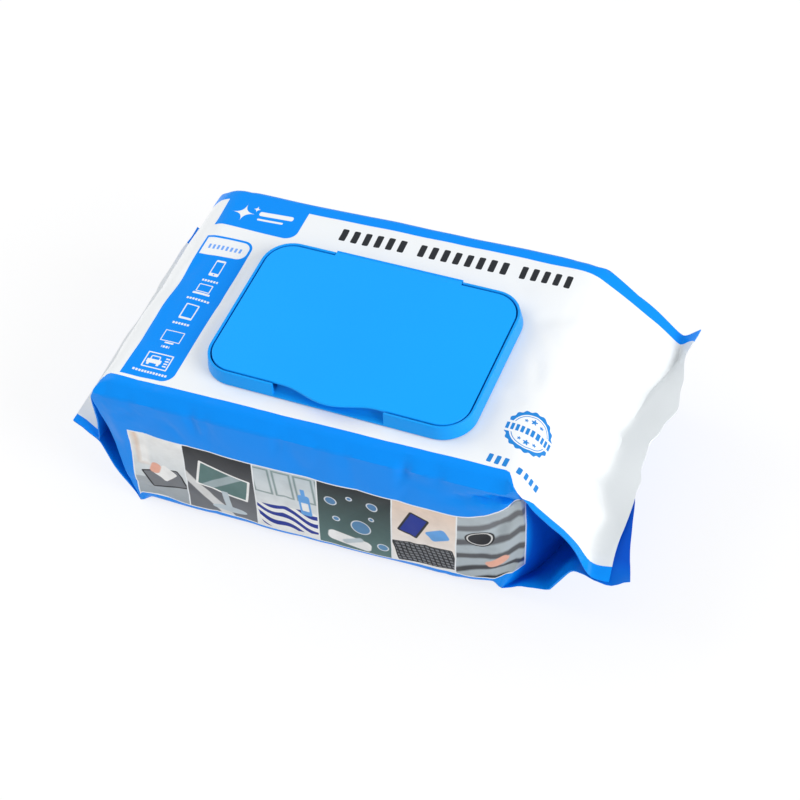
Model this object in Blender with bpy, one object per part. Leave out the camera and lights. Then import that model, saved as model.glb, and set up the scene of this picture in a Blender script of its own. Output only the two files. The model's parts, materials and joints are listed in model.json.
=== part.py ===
"""Pack of wet wipes: a gusseted flow-wrap film pack with a hinged flip lid on its top panel.

Metres, +Z up. The pack lies along X on the plane z = 0, its front faces -Y, and the origin is the
centre of its footprint.
"""
from collections import namedtuple
from math import cos, pi, sin

import bmesh
import bpy
from mathutils import Matrix, Vector

# Film pack: lengths along X, from the left fin's edge to the right one's
LEFT_FIN = 0.0105           # sealed strip past the left seal line
LEFT_TAPER = 0.0060         # top shoulder to seal line, the steep end
TOP_LENGTH = 0.1725         # front edge of the top panel, shoulder to shoulder
RIGHT_TAPER = 0.0215        # top shoulder to seal line, the sloping end
RIGHT_FIN = 0.0130          # sealed strip past the right seal line
FLAP_SPLAY = 0.0080         # the loose lower flap at the front right stands out this far past the fin
LEFT_HEEL = 0.0070          # the bottom panel starts this far inside the left shoulder
RIGHT_HEEL = 0.0095         # and this far inside the right one

# Film pack: widths, heights and radii
BLOCK_WIDTH = 0.1135        # across the long upper and lower edges
SIDE_BULGE = 0.0010         # each long side stands out this much at half height
SEAL_WIDTH = 0.1128         # across the flat end fins
PACK_HEIGHT = 0.0720        # bottom to the flat top panel
EDGE_RADIUS = 0.0070        # long upper edges
BASE_RADIUS = 0.0060        # long lower edges
CORNER_RUN = 0.0150         # the long edges sharpen to a fold over this length at each end
BLOCK_SKEW = 0.0017         # sideways lean of the wipes inside the film, at each end
GUSSET_DEPTH = 0.0350       # how far each side is tucked in at the seal
FILM_FOLD = 0.0007          # two layers of film where a gusset lies on its slope
FIN_THICKNESS = 0.0010      # four layers of film in a fin
FOLD_START = 0.30           # share of the taper over which a gusset lifts off its slope
BELLY_FADE = 0.50           # share of an end slope's swell that is gone at its front and back edges

# Film pack: the left end
LEFT_DROP = 0.0080          # shoulder below the top panel
LEFT_ROUND = 0.0160         # length over which the top panel falls to the shoulder
LEFT_SEAL_HEIGHT = 0.0310
LEFT_FIN_RISE = 0.0080      # fin's edge above its seal line
LEFT_FALL = 3.0             # how sharply the top panel bends down to the shoulder
LEFT_TOP_BELLY = 0.0010     # swell of the end slope
LEFT_BASE_BELLY = 0.0008

# Film pack: the right end
RIGHT_DROP = 0.0055
RIGHT_ROUND = 0.0170
RIGHT_SEAL_HEIGHT = 0.0370
RIGHT_FIN_RISE = 0.0010
RIGHT_FALL = 2.5
RIGHT_TOP_BELLY = 0.0010
RIGHT_BASE_BELLY = 0.0042
RIGHT_SHOULDER_SKEW = 0.0055    # the shoulder's back end lies this much nearer the middle
RIGHT_SEAL_BACK = 0.0050        # the seal's back end lies this much further out
RIGHT_SEAL_SAG = 0.0040         # the seal's middle lies this much further in
RIGHT_BACK_LIFT = 0.0040        # the seal's back end is this much higher
BACK_CURL = 0.0050              # and the fin's back corner is curled up by this more
FIN_WAVE = 0.0022               # height of the waves in the right fin's edge
FIN_WAVES = 2.5                 # number of waves across the fin
FLAP_GAP = 0.0024               # opening between the two loose flaps at the front right corner
FLAP_SLIT = 0.0002              # half their gap where they leave the seal line

# Lid frame, which is stuck on the top panel
LID_CENTRE_X = -0.0052
LID_CENTRE_Y = -0.0080
LID_LENGTH = 0.1042
LID_WIDTH = 0.0666
LID_CORNER = 0.0105
LID_THICKNESS = 0.0011
LID_EDGE_ROUND = 0.0005
EDGE_MIDDLE = 0.3           # share of that rounding at the ring half way round it
RIM_GAP = 0.0004            # between the lid and the rim, all round
RIM_THICKNESS = 0.0012
RIM_DRAFT = 0.0008          # the rim wall is this much further out at its foot
FRAME_HEIGHT = 0.0062       # foot to rim
FLOOR_THICKNESS = 0.0008
SEAT_GAP = 0.0003           # clearance between pieces that touch
MOUTH_LENGTH = 0.0700
MOUTH_WIDTH = 0.0340
COLLAR_THICKNESS = 0.0010
COLLAR_HEIGHT = 0.0022      # above the floor
RING_THICKNESS = 0.0009     # the lid's sealing ring, which stands round the collar
RING_DEPTH = 0.0024         # below the lid
SCOOP_LENGTH = 0.0450
SCOOP_SHELF = 0.0021        # flat part of the scoop's floor, from the frame's foot
SCOOP_RADIUS = 0.0041
SCOOP_WALL = 0.0010         # wall behind the scoop
LIP_LENGTH = 0.0380
LIP_REACH = 0.0038          # the lip stands out this far past the lid's front edge
HINGE_LENGTH = 0.0530
HINGE_SETBACK = 0.0003      # the hinge axis lies this far outside the rim's top edge
TAB_GAP = 0.0004            # end of the hinge tab to the hinge axis

# Peel label under the mouth
LABEL_MARGIN = 0.0020       # all round, to the mouth
LABEL_THICKNESS = 0.0003
PULL_LENGTH = 0.0080
PULL_WIDTH = 0.0140

# Colour and roughness of each finish
FINISHES = {
    "film": ((0.03, 0.30, 0.86), 0.35),
    "frame_plastic": ((0.03, 0.36, 0.93), 0.40),
    "lid_plastic": ((0.016, 0.39, 1.0), 0.42),
    "label_film": ((0.86, 0.88, 0.90), 0.30),
}

# Fineness of the meshes
GUSSET_COLUMNS = 4          # across each tucked part of a panel
MIDDLE_COLUMNS = 5          # across the part between the tucks
ROUND_COLUMNS = 3           # round each long edge
WALL_COLUMNS = 5            # down each side
BODY_ROWS = 16
TAPER_ROWS = 7
FIN_ROWS = 3
CORNER_STEPS = 8
LIP_STEPS = 18
SCOOP_STEPS = 7
MERGE = 1e-6
FLUSH = 1e-5                # keeps faces of two bodies that are combined out of one plane
ROW_EVENNESS = 0.5          # 0 crowds the body's rows at its ends, 1 spaces them evenly

LENGTH = LEFT_FIN + LEFT_TAPER + TOP_LENGTH + RIGHT_TAPER + RIGHT_FIN + FLAP_SPLAY
HALF_FIN = FIN_THICKNESS / 2

FRONT, BACK = -1, 1

# One end of the pack. The three-part values are at the front edge, the middle and the back edge.
End = namedtuple("End", "side shoulder drop round heel seal seal_z edge edge_z top_belly base_belly")

LEFT_EDGE = -LENGTH / 2
LEFT_SEAL = LEFT_EDGE + LEFT_FIN
LEFT_SHOULDER = LEFT_SEAL + LEFT_TAPER
RIGHT_SHOULDER = LEFT_SHOULDER + TOP_LENGTH
RIGHT_SEAL = RIGHT_SHOULDER + RIGHT_TAPER
RIGHT_EDGE = RIGHT_SEAL + RIGHT_FIN

LEFT_END = End(
    side=-1,
    shoulder=(LEFT_SHOULDER,) * 3,
    drop=LEFT_DROP,
    round=LEFT_ROUND,
    heel=LEFT_SHOULDER + LEFT_HEEL,
    seal=(LEFT_SEAL,) * 3,
    seal_z=(LEFT_SEAL_HEIGHT,) * 3,
    edge=(LEFT_EDGE,) * 3,
    edge_z=(LEFT_SEAL_HEIGHT + LEFT_FIN_RISE,) * 3,
    top_belly=LEFT_TOP_BELLY,
    base_belly=LEFT_BASE_BELLY,
)
RIGHT_END = End(
    side=1,
    shoulder=(RIGHT_SHOULDER, RIGHT_SHOULDER - RIGHT_SHOULDER_SKEW / 2, RIGHT_SHOULDER - RIGHT_SHOULDER_SKEW),
    drop=RIGHT_DROP,
    round=RIGHT_ROUND,
    heel=RIGHT_SHOULDER - RIGHT_HEEL,
    seal=(RIGHT_SEAL, RIGHT_SEAL - RIGHT_SEAL_SAG, RIGHT_SEAL + RIGHT_SEAL_BACK),
    seal_z=(RIGHT_SEAL_HEIGHT, RIGHT_SEAL_HEIGHT, RIGHT_SEAL_HEIGHT + RIGHT_BACK_LIFT),
    edge=(RIGHT_EDGE, RIGHT_EDGE - RIGHT_SEAL_SAG / 2, RIGHT_EDGE),
    edge_z=(
        RIGHT_SEAL_HEIGHT,
        RIGHT_SEAL_HEIGHT + RIGHT_FIN_RISE,
        RIGHT_SEAL_HEIGHT + RIGHT_BACK_LIFT + BACK_CURL,
    ),
    top_belly=RIGHT_TOP_BELLY,
    base_belly=RIGHT_BASE_BELLY,
)


def lerp(a, b, t):
    return a + (b - a) * t


def clamp(value, low=0.0, high=1.0):
    return max(low, min(high, value))


def smooth(value):
    value = clamp(value)
    return value * value * (3 - 2 * value)


def across(values, t):
    """A value at t, from -1 at the front edge to 1 at the back edge."""
    front, middle, back = values
    return middle + (back - front) / 2 * t + ((back + front) / 2 - middle) * t * t


def panel_columns():
    """Places of the top and bottom panels' columns, from -1 to 1, with lines at the tucks' ends."""
    tuck = 1 - 2 * GUSSET_DEPTH / SEAL_WIDTH
    outer = [lerp(-1, -tuck, k / GUSSET_COLUMNS) for k in range(GUSSET_COLUMNS)]
    middle = [lerp(-tuck, tuck, k / MIDDLE_COLUMNS) for k in range(MIDDLE_COLUMNS + 1)]
    return outer + middle + [-t for t in reversed(outer)]


COLUMNS = panel_columns()


def skew(x):
    """Sideways shift of the block of wipes inside the film."""
    return BLOCK_SKEW * x / (TOP_LENGTH / 2)


def half_width(s):
    """Half the width of a panel from the shoulder, s = 0, to the seal, s = 1."""
    return lerp(BLOCK_WIDTH, SEAL_WIDTH, s) / 2


def end_point(end, t, s, top):
    """A point of an end slope: t across, s from the shoulder or heel to the seal line."""
    seal = Vector((across(end.seal, t), 0, across(end.seal_z, t) + (HALF_FIN if top else -HALF_FIN)))
    if top:
        start = Vector((across(end.shoulder, t), 0, PACK_HEIGHT - end.drop))
        belly = end.top_belly
    else:
        start = Vector((end.heel, 0, 0))
        belly = end.base_belly
    chord = seal - start
    outward = Vector((abs(chord.z), 0, abs(chord.x) * (1 if top else -1))).normalized()
    outward.x *= end.side
    point = start.lerp(seal, s) + outward * belly * 4 * s * (1 - s) * (1 - BELLY_FADE * t * t)
    point.y = t * half_width(s) + skew(start.x) * (1 - s)
    return point


def slit(k):
    """Half the gap between two loose flaps at column k, closed where the tuck ends."""
    return Vector((0, 0, FLAP_SLIT * (1 - k / GUSSET_COLUMNS)))


def end_row(end, s, loose):
    """The closed line round the pack at share s of an end slope."""
    into_pack = Vector((-end.side * FILM_FOLD, 0, 0))
    lift = clamp(s / FOLD_START)
    upper_offset = (into_pack + Vector((0, 0, -HALF_FIN))) * lift
    lower_offset = (into_pack + Vector((0, 0, HALF_FIN))) * lift
    top = [end_point(end, t, s, True) for t in COLUMNS]
    base = [end_point(end, t, s, False) for t in COLUMNS]
    sides = {}
    for side in (FRONT, BACK):
        depths = [GUSSET_DEPTH * s * k / GUSSET_COLUMNS for k in range(GUSSET_COLUMNS + 1)]
        tucks = [side * (1 - depth / half_width(s)) for depth in depths]
        upper = [end_point(end, t, s, True) + upper_offset for t in tucks]
        lower = [end_point(end, t, s, False) + lower_offset for t in tucks]
        if side in loose:
            upper = [point + slit(k) * lift for k, point in enumerate(upper)]
            lower = [point - slit(k) * lift for k, point in enumerate(lower)]
        arcs = [0.0] * ROUND_COLUMNS
        steps = arcs + [k / WALL_COLUMNS for k in range(WALL_COLUMNS + 1)] + [1.0] * ROUND_COLUMNS
        wall = [upper[-1].lerp(lower[-1], k) for k in steps]
        sides[side] = upper + wall + lower[::-1]
    return closed_row(top, base, sides)


def closed_row(top, base, sides):
    """Top panel front to back, back side down, bottom panel back to front, front side up."""
    return top + sides[BACK] + base[::-1] + sides[FRONT][::-1]


def body_height(x, t):
    """Height of the top panel, which falls off to the two shoulders."""
    left = x - across(LEFT_END.shoulder, t)
    right = across(RIGHT_END.shoulder, t) - x
    left_fall = LEFT_DROP * clamp(1 - left / LEFT_ROUND) ** LEFT_FALL
    right_fall = RIGHT_DROP * clamp(1 - right / RIGHT_ROUND) ** RIGHT_FALL
    return PACK_HEIGHT - left_fall - right_fall


def body_row(p):
    """The closed line round the block of wipes at share p of its length."""
    top, base = [], []
    top_x = [lerp(across(LEFT_END.shoulder, t), across(RIGHT_END.shoulder, t), p) for t in COLUMNS]
    base_x = lerp(LEFT_END.heel, RIGHT_END.heel, p)
    run = TOP_LENGTH * min(p, 1 - p) / CORNER_RUN
    edge = EDGE_RADIUS * smooth(run)
    foot = BASE_RADIUS * smooth(run)
    for x, t in zip(top_x, COLUMNS):
        top.append(Vector((x, t * (BLOCK_WIDTH / 2 - edge) + skew(x), body_height(x, t))))
        base.append(Vector((base_x, t * (BLOCK_WIDTH / 2 - foot) + skew(base_x), 0)))
    sides = {}
    for side, upper, lower in ((FRONT, top[0], base[0]), (BACK, top[-1], base[-1])):
        wall = []
        for k in range(ROUND_COLUMNS + 1):
            angle = pi / 2 * k / ROUND_COLUMNS
            wall.append(upper + Vector((0, side * edge * sin(angle), edge * (cos(angle) - 1))))
        for k in range(ROUND_COLUMNS, -1, -1):
            angle = pi / 2 * k / ROUND_COLUMNS
            wall.append(lower + Vector((0, side * foot * sin(angle), foot * (1 - cos(angle)))))
        high, low = wall[ROUND_COLUMNS], wall[ROUND_COLUMNS + 1]
        middle = [high.lerp(low, k / WALL_COLUMNS) for k in range(1, WALL_COLUMNS)]
        wall[ROUND_COLUMNS + 1:ROUND_COLUMNS + 1] = middle
        for point in wall:
            depth = clamp((upper.z - point.z) / (upper.z - lower.z))
            point.x = lerp(upper.x, lower.x, depth)
            point.y += side * SIDE_BULGE * sin(pi * depth) * smooth(run)
        tuck = [upper] * (GUSSET_COLUMNS + 1)
        heel = [lower] * (GUSSET_COLUMNS + 1)
        sides[side] = tuck + wall + heel
    return closed_row(top, base, sides)


def fin_middle(end, t, f):
    """A point half way through a fin's thickness, f from the seal line to the edge."""
    wave = 0.0
    if end is RIGHT_END:
        wave = FIN_WAVE * sin(pi * FIN_WAVES * (t + 1) / 2) ** 2 * f
    x = lerp(across(end.seal, t), across(end.edge, t), f) - wave / 2
    z = lerp(across(end.seal_z, t), across(end.edge_z, t), f) + wave
    return Vector((x, t * SEAL_WIDTH / 2, z))


def fin_row(end, f, loose):
    """The closed line round a fin. The sides named in loose have two flaps that aren't sealed."""
    half = Vector((0, 0, HALF_FIN))
    top = [fin_middle(end, t, f) + half for t in COLUMNS]
    base = [fin_middle(end, t, f) - half for t in COLUMNS]
    sides = {}
    for side in (FRONT, BACK):
        middle = fin_middle(end, side, f)
        count = 2 * (GUSSET_COLUMNS + 1) + 2 * ROUND_COLUMNS + WALL_COLUMNS + 1
        sides[side] = [middle] * count
        if side in loose:
            upper, lower = [], []
            outer = COLUMNS[:GUSSET_COLUMNS + 1]
            for k, t in enumerate(outer):
                share = f * (1 - k / GUSSET_COLUMNS)
                sag = Vector((FLAP_SPLAY * share, 0, -FLAP_GAP * share))
                line = fin_middle(end, -side * t, f)
                upper.append(line + slit(k))
                lower.append(line + sag - slit(k))
                base[k if side == FRONT else -1 - k] += sag
            wall = [upper[-1]] * (count - 2 * len(outer))
            sides[side] = upper + wall + lower[::-1]
    return closed_row(top, base, sides)


def film_rows():
    """All rows from the left fin's edge to the right one's."""
    taper = [k / TAPER_ROWS for k in range(TAPER_ROWS + 1)]
    fin = [k / FIN_ROWS for k in range(1, FIN_ROWS + 1)]
    body = [0.5 - 0.5 * cos(pi * k / BODY_ROWS) for k in range(1, BODY_ROWS)]
    body = [lerp(p, k / BODY_ROWS, ROW_EVENNESS) for p, k in zip(body, range(1, BODY_ROWS))]
    left_fin = [fin_row(LEFT_END, f, ()) for f in reversed(fin)]
    left = [end_row(LEFT_END, s, ()) for s in reversed(taper)]
    middle = [body_row(p) for p in body]
    right = [end_row(RIGHT_END, s, (FRONT,)) for s in taper]
    right_fin = [fin_row(RIGHT_END, f, (FRONT,)) for f in fin]
    return left_fin, left + middle + right, right_fin


def film_pack():
    """The film and its wipes as one closed loft, with tucked gussets and flat end fins."""
    bm = bmesh.new()
    left_fin, body, right_fin = film_rows()
    rows = [[bm.verts.new(point) for point in row] for row in left_fin + body + right_fin]
    count = len(rows[0])
    panel = len(COLUMNS)
    side = (count - 2 * panel) // 2
    back = range(panel, panel + side - 1)
    front = range(2 * panel + side, count - 1)
    wall = range(2 * panel + side + GUSSET_COLUMNS, count - 1 - GUSSET_COLUMNS)

    def skin(first, second, skipped):
        for k in range(count):
            if k in skipped:
                continue
            after = (k + 1) % count
            bm.faces.new((first[k], first[after], second[after], second[k]))

    closed = set(back) | set(front)
    loose_front = set(back) | set(wall)
    seal_rows = (len(left_fin), len(left_fin) + len(body) - 1)
    for k, (first, second) in enumerate(zip(rows, rows[1:])):
        if k < seal_rows[0]:
            skin(first, second, closed)
        elif k < seal_rows[1]:
            skin(first, second, set())
        else:
            skin(first, second, loose_front)

    def cap(row, loose):
        top = row[:panel]
        base = row[panel + side:2 * panel + side][::-1]
        front_side = row[2 * panel + side:][::-1]
        for k in range(panel - 1):
            if loose and k < GUSSET_COLUMNS:
                bm.faces.new((top[k], top[k + 1], front_side[k + 1], front_side[k]))
                bm.faces.new((front_side[-1 - k], front_side[-2 - k], base[k + 1], base[k]))
            else:
                bm.faces.new((top[k], top[k + 1], base[k + 1], base[k]))
        corner = GUSSET_COLUMNS if loose else 0
        bm.faces.new((top[corner], base[corner], front_side[corner]))
        bm.faces.new((top[-1], base[-1], row[panel]))

    cap(rows[0], False)
    cap(rows[-1], True)
    bmesh.ops.remove_doubles(bm, verts=bm.verts, dist=MERGE)
    bmesh.ops.dissolve_degenerate(bm, dist=MERGE, edges=bm.edges)
    bmesh.ops.recalc_face_normals(bm, faces=bm.faces)
    return object_from(bm, "film_pack", "film")


def rounded_outline(length, width, radius, lip=0.0):
    """A rounded rectangle, anticlockwise from the front left, with a lip on its front edge if asked."""
    points = []
    if lip:
        for k in range(LIP_STEPS + 1):
            x = lerp(-LIP_LENGTH / 2, LIP_LENGTH / 2, k / LIP_STEPS)
            points.append((x, -width / 2 - lip * cos(pi * x / LIP_LENGTH) ** 2))
    corners = ((1, -1, -pi / 2), (1, 1, 0), (-1, 1, pi / 2), (-1, -1, pi))
    for side_x, side_y, start in corners:
        centre = (side_x * (length / 2 - radius), side_y * (width / 2 - radius))
        for k in range(CORNER_STEPS + 1):
            angle = start + pi / 2 * k / CORNER_STEPS
            points.append((centre[0] + radius * cos(angle), centre[1] + radius * sin(angle)))
    return points


def stadium(length, width):
    return rounded_outline(length, width, width / 2 - MERGE)


def stacked(rings):
    """A closed mesh through a list of (outline, height), capped at both ends."""
    bm = bmesh.new()
    loops = []
    for outline, height in rings:
        loops.append([bm.verts.new((x + LID_CENTRE_X, y + LID_CENTRE_Y, height)) for x, y in outline])
    for first, second in zip(loops, loops[1:]):
        for k in range(len(first)):
            after = (k + 1) % len(first)
            bm.faces.new((first[k], first[after], second[after], second[k]))
    bm.faces.new(loops[0][::-1])
    bm.faces.new(loops[-1])
    bmesh.ops.recalc_face_normals(bm, faces=bm.faces)
    return bm


def bar(profile, start, end):
    """A profile in Y and Z, relative to the lid's centre, drawn out along X from start to end."""
    bm = bmesh.new()
    ends = []
    for x in (start, end):
        ends.append([bm.verts.new((LID_CENTRE_X + x, LID_CENTRE_Y + y, z)) for y, z in profile])
    for k in range(len(profile)):
        after = (k + 1) % len(profile)
        bm.faces.new((ends[0][k], ends[0][after], ends[1][after], ends[1][k]))
    bm.faces.new(ends[0])
    bm.faces.new(ends[1][::-1])
    bmesh.ops.recalc_face_normals(bm, faces=bm.faces)
    return bm


def object_from(bm, name, finish):
    mesh = bpy.data.meshes.new(name)
    bm.to_mesh(mesh)
    bm.free()
    piece = bpy.data.objects.new(name, mesh)
    PARTS.objects.link(piece)
    mesh.materials.append(plastic(finish))
    return piece


def cutter_from(bm, name):
    mesh = bpy.data.meshes.new(name)
    bm.to_mesh(mesh)
    bm.free()
    cutter = bpy.data.objects.new(name, mesh)
    CUTTERS.objects.link(cutter)
    cutter.hide_render = True
    cutter.display_type = "WIRE"
    return cutter


def plastic(name):
    colour, roughness = FINISHES[name]
    material = bpy.data.materials.get(name) or bpy.data.materials.new(name)
    material.use_nodes = True
    shader = material.node_tree.nodes["Principled BSDF"]
    shader.inputs["Base Color"].default_value = (*colour, 1)
    shader.inputs["Roughness"].default_value = roughness
    shader.inputs["Metallic"].default_value = 0
    return material


def combine(piece, tool, operation):
    modifier = piece.modifiers.new(tool.name, "BOOLEAN")
    modifier.operation = operation
    modifier.solver = "EXACT"
    modifier.object = tool


FOOT_Z = PACK_HEIGHT + SEAT_GAP
RIM_Z = FOOT_Z + FRAME_HEIGHT
FLOOR_Z = FOOT_Z + FLOOR_THICKNESS
LID_UNDER = RIM_Z - LID_THICKNESS
RIM_INSIDE = (LID_LENGTH + 2 * RIM_GAP, LID_WIDTH + 2 * RIM_GAP, LID_CORNER + RIM_GAP)
RIM_OUTSIDE = tuple(size + step * RIM_THICKNESS for size, step in zip(RIM_INSIDE, (2, 2, 1)))
FOOT_OUTSIDE = tuple(size + step * RIM_DRAFT for size, step in zip(RIM_OUTSIDE, (2, 2, 1)))
HINGE_Y = RIM_OUTSIDE[1] / 2 + HINGE_SETBACK
HINGE_Z = RIM_Z - LID_THICKNESS / 2


def lid_frame():
    """Tray with a rim, cut by the mouth, the finger scoop and the hinge seat."""
    frame = object_from(
        stacked([
            (rounded_outline(*FOOT_OUTSIDE), FOOT_Z),
            (rounded_outline(*RIM_OUTSIDE), RIM_Z),
            (rounded_outline(*RIM_INSIDE), RIM_Z),
            (rounded_outline(*RIM_INSIDE), FLOOR_Z),
        ]),
        "lid_frame", "frame_plastic")
    clear = RIM_THICKNESS
    collar = (MOUTH_LENGTH + 2 * COLLAR_THICKNESS, MOUTH_WIDTH + 2 * COLLAR_THICKNESS)
    collar_block = stacked([
        (stadium(*collar), FLOOR_Z - FLOOR_THICKNESS / 2),
        (stadium(*collar), FLOOR_Z + COLLAR_HEIGHT),
    ])
    mouth = stacked([
        (stadium(MOUTH_LENGTH, MOUTH_WIDTH), FOOT_Z - clear),
        (stadium(MOUTH_LENGTH, MOUTH_WIDTH), RIM_Z + clear),
    ])
    front_foot = -FOOT_OUTSIDE[1] / 2
    shelf_end = front_foot + SCOOP_SHELF
    wall_back = shelf_end + SCOOP_RADIUS + SCOOP_WALL
    scoop_top = LID_UNDER - SEAT_GAP
    gap = [(front_foot - clear, FLOOR_Z), (wall_back, FLOOR_Z), (wall_back, RIM_Z + clear)]
    gap.append((front_foot - clear, RIM_Z + clear))
    scoop = [(front_foot + RIM_DRAFT / 2, FLOOR_Z - FLOOR_THICKNESS / 2)]
    scoop.append((front_foot + RIM_DRAFT / 2, FLOOR_Z + FLUSH))
    rise = min(SCOOP_RADIUS, scoop_top - FLOOR_Z)
    for k in range(SCOOP_STEPS + 1):
        angle = pi / 2 * k / SCOOP_STEPS
        scoop.append((shelf_end + SCOOP_RADIUS * sin(angle), FLOOR_Z + FLUSH + rise * (1 - cos(angle))))
    scoop.append((shelf_end + SCOOP_RADIUS, scoop_top))
    scoop.append((wall_back, scoop_top))
    scoop.append((wall_back, FLOOR_Z - FLOOR_THICKNESS / 2))
    seat_low = LID_UNDER - SEAT_GAP
    seat = [(RIM_INSIDE[1] / 2 - clear, seat_low), (FOOT_OUTSIDE[1] / 2 + clear, seat_low)]
    seat += [(FOOT_OUTSIDE[1] / 2 + clear, RIM_Z + clear), (RIM_INSIDE[1] / 2 - clear, RIM_Z + clear)]
    half_scoop = SCOOP_LENGTH / 2
    half_seat = HINGE_LENGTH / 2 + SEAT_GAP
    combine(frame, cutter_from(bar(gap, -half_scoop, half_scoop), "scoop_gap_cutter"), "DIFFERENCE")
    combine(frame, cutter_from(bar(scoop, -half_scoop, half_scoop), "scoop_body"), "UNION")
    combine(frame, cutter_from(bar(seat, -half_seat, half_seat), "hinge_seat_cutter"), "DIFFERENCE")
    combine(frame, cutter_from(collar_block, "collar_body"), "UNION")
    combine(frame, cutter_from(mouth, "mouth_cutter"), "DIFFERENCE")
    return frame


def flip_lid():
    """Panel with a rounded upper edge, a front lip, a hinge tab and the sealing ring underneath."""
    outline = rounded_outline(LID_LENGTH, LID_WIDTH, LID_CORNER, LIP_REACH)
    inner = rounded_outline(
        LID_LENGTH - 2 * LID_EDGE_ROUND, LID_WIDTH - 2 * LID_EDGE_ROUND, LID_CORNER - LID_EDGE_ROUND,
        LIP_REACH)
    chamfer = rounded_outline(
        LID_LENGTH - 2 * EDGE_MIDDLE * LID_EDGE_ROUND, LID_WIDTH - 2 * EDGE_MIDDLE * LID_EDGE_ROUND,
        LID_CORNER - EDGE_MIDDLE * LID_EDGE_ROUND, LIP_REACH)
    lid = object_from(
        stacked([
            (outline, LID_UNDER),
            (outline, RIM_Z - LID_EDGE_ROUND),
            (chamfer, RIM_Z - EDGE_MIDDLE * LID_EDGE_ROUND),
            (inner, RIM_Z),
        ]),
        "flip_lid", "lid_plastic")
    tab_end = HINGE_Y - TAB_GAP
    tab_start = LID_WIDTH / 2 - LID_THICKNESS
    tab = [(tab_start, LID_UNDER), (tab_end, LID_UNDER), (tab_end, RIM_Z - LID_EDGE_ROUND / 2)]
    tab.append((tab_end - LID_EDGE_ROUND / 2, RIM_Z - FLUSH))
    tab.append((tab_start, RIM_Z - FLUSH))
    inside = (MOUTH_LENGTH + 2 * (COLLAR_THICKNESS + RIM_GAP), MOUTH_WIDTH + 2 * (COLLAR_THICKNESS + RIM_GAP))
    outside = (inside[0] + 2 * RING_THICKNESS, inside[1] + 2 * RING_THICKNESS)
    ring = cutter_from(
        stacked([
            (stadium(*outside), LID_UNDER - RING_DEPTH),
            (stadium(*outside), LID_UNDER + LID_THICKNESS / 2),
        ]), "ring_body")
    bore = cutter_from(
        stacked([
            (stadium(*inside), LID_UNDER - 2 * RING_DEPTH),
            (stadium(*inside), LID_UNDER),
        ]), "ring_bore_cutter")
    half_tab = HINGE_LENGTH / 2
    combine(lid, cutter_from(bar(tab, -half_tab, half_tab), "tab_body"), "UNION")
    combine(lid, ring, "UNION")
    combine(lid, bore, "DIFFERENCE")
    return lid


def peel_label():
    """Thin label over the film's dispensing slot, with a rounded pull tab at its right end."""
    low = PACK_HEIGHT + SEAT_GAP
    length = MOUTH_LENGTH - 2 * LABEL_MARGIN - PULL_LENGTH
    width = MOUTH_WIDTH - 2 * LABEL_MARGIN
    shift = -PULL_LENGTH / 2
    sheet = [(x + shift, y) for x, y in stadium(length, width)]
    label = object_from(
        stacked([(sheet, low), (sheet, low + LABEL_THICKNESS)]), "peel_label", "label_film")
    start = length / 2 + shift
    pull = [(x + start, y) for x, y in stadium(2 * PULL_LENGTH, PULL_WIDTH)]
    pull_body = stacked([(pull, low), (pull, low + LABEL_THICKNESS)])
    combine(label, cutter_from(pull_body, "pull_body"), "UNION")
    return label


def place_on_hinge(lid):
    """Moves the lid's origin to its hinge axis, with the mesh left where it is."""
    axis = Vector((LID_CENTRE_X, LID_CENTRE_Y + HINGE_Y, HINGE_Z))
    lid.data.transform(Matrix.Translation(-axis))
    lid.location = axis


def shade(piece, angle):
    piece.data.shade_smooth()
    piece.data.set_sharp_from_angle(angle=angle)


for old in list(bpy.data.objects):
    bpy.data.objects.remove(old, do_unlink=True)
PARTS = bpy.data.collections.new("wet_wipes_pack")
CUTTERS = bpy.data.collections.new("cutters")
for collection in (PARTS, CUTTERS):
    bpy.context.scene.collection.children.link(collection)

shade(film_pack(), pi / 5)
shade(lid_frame(), pi / 6)
flap = flip_lid()
place_on_hinge(flap)
shade(flap, pi / 6)
shade(peel_label(), pi / 6)
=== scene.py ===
"""Looks of a pack of wet wipes: printed film, lid frame, flip lid and peel label.

Metres, +Z up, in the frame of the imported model. Printed marks are in millimetres of the flat film.
"""

import json
from collections import namedtuple
from functools import reduce
from math import cos, exp, pi, sin

import bmesh
import bpy
from mathutils import Matrix, Vector, noise


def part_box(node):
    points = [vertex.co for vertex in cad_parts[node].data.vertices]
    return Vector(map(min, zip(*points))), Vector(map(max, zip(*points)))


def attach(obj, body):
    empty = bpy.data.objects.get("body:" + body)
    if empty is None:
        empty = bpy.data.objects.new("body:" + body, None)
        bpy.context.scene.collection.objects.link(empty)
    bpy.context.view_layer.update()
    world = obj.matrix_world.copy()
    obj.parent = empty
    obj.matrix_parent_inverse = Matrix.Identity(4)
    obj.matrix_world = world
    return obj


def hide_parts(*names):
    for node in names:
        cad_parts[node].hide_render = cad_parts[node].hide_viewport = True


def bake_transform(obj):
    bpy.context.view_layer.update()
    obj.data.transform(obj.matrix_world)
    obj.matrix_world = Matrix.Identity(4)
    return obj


bl_info = {
    "name": "Wet wipes pack",
    "version": (1, 0, 0),
    "blender": (4, 5, 0),
    "location": "View3D > Sidebar > Wipes Pack",
    "description": "Builds the film pouch, lid and studio of a pack of wet wipes",
    "category": "Object",
}

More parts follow.
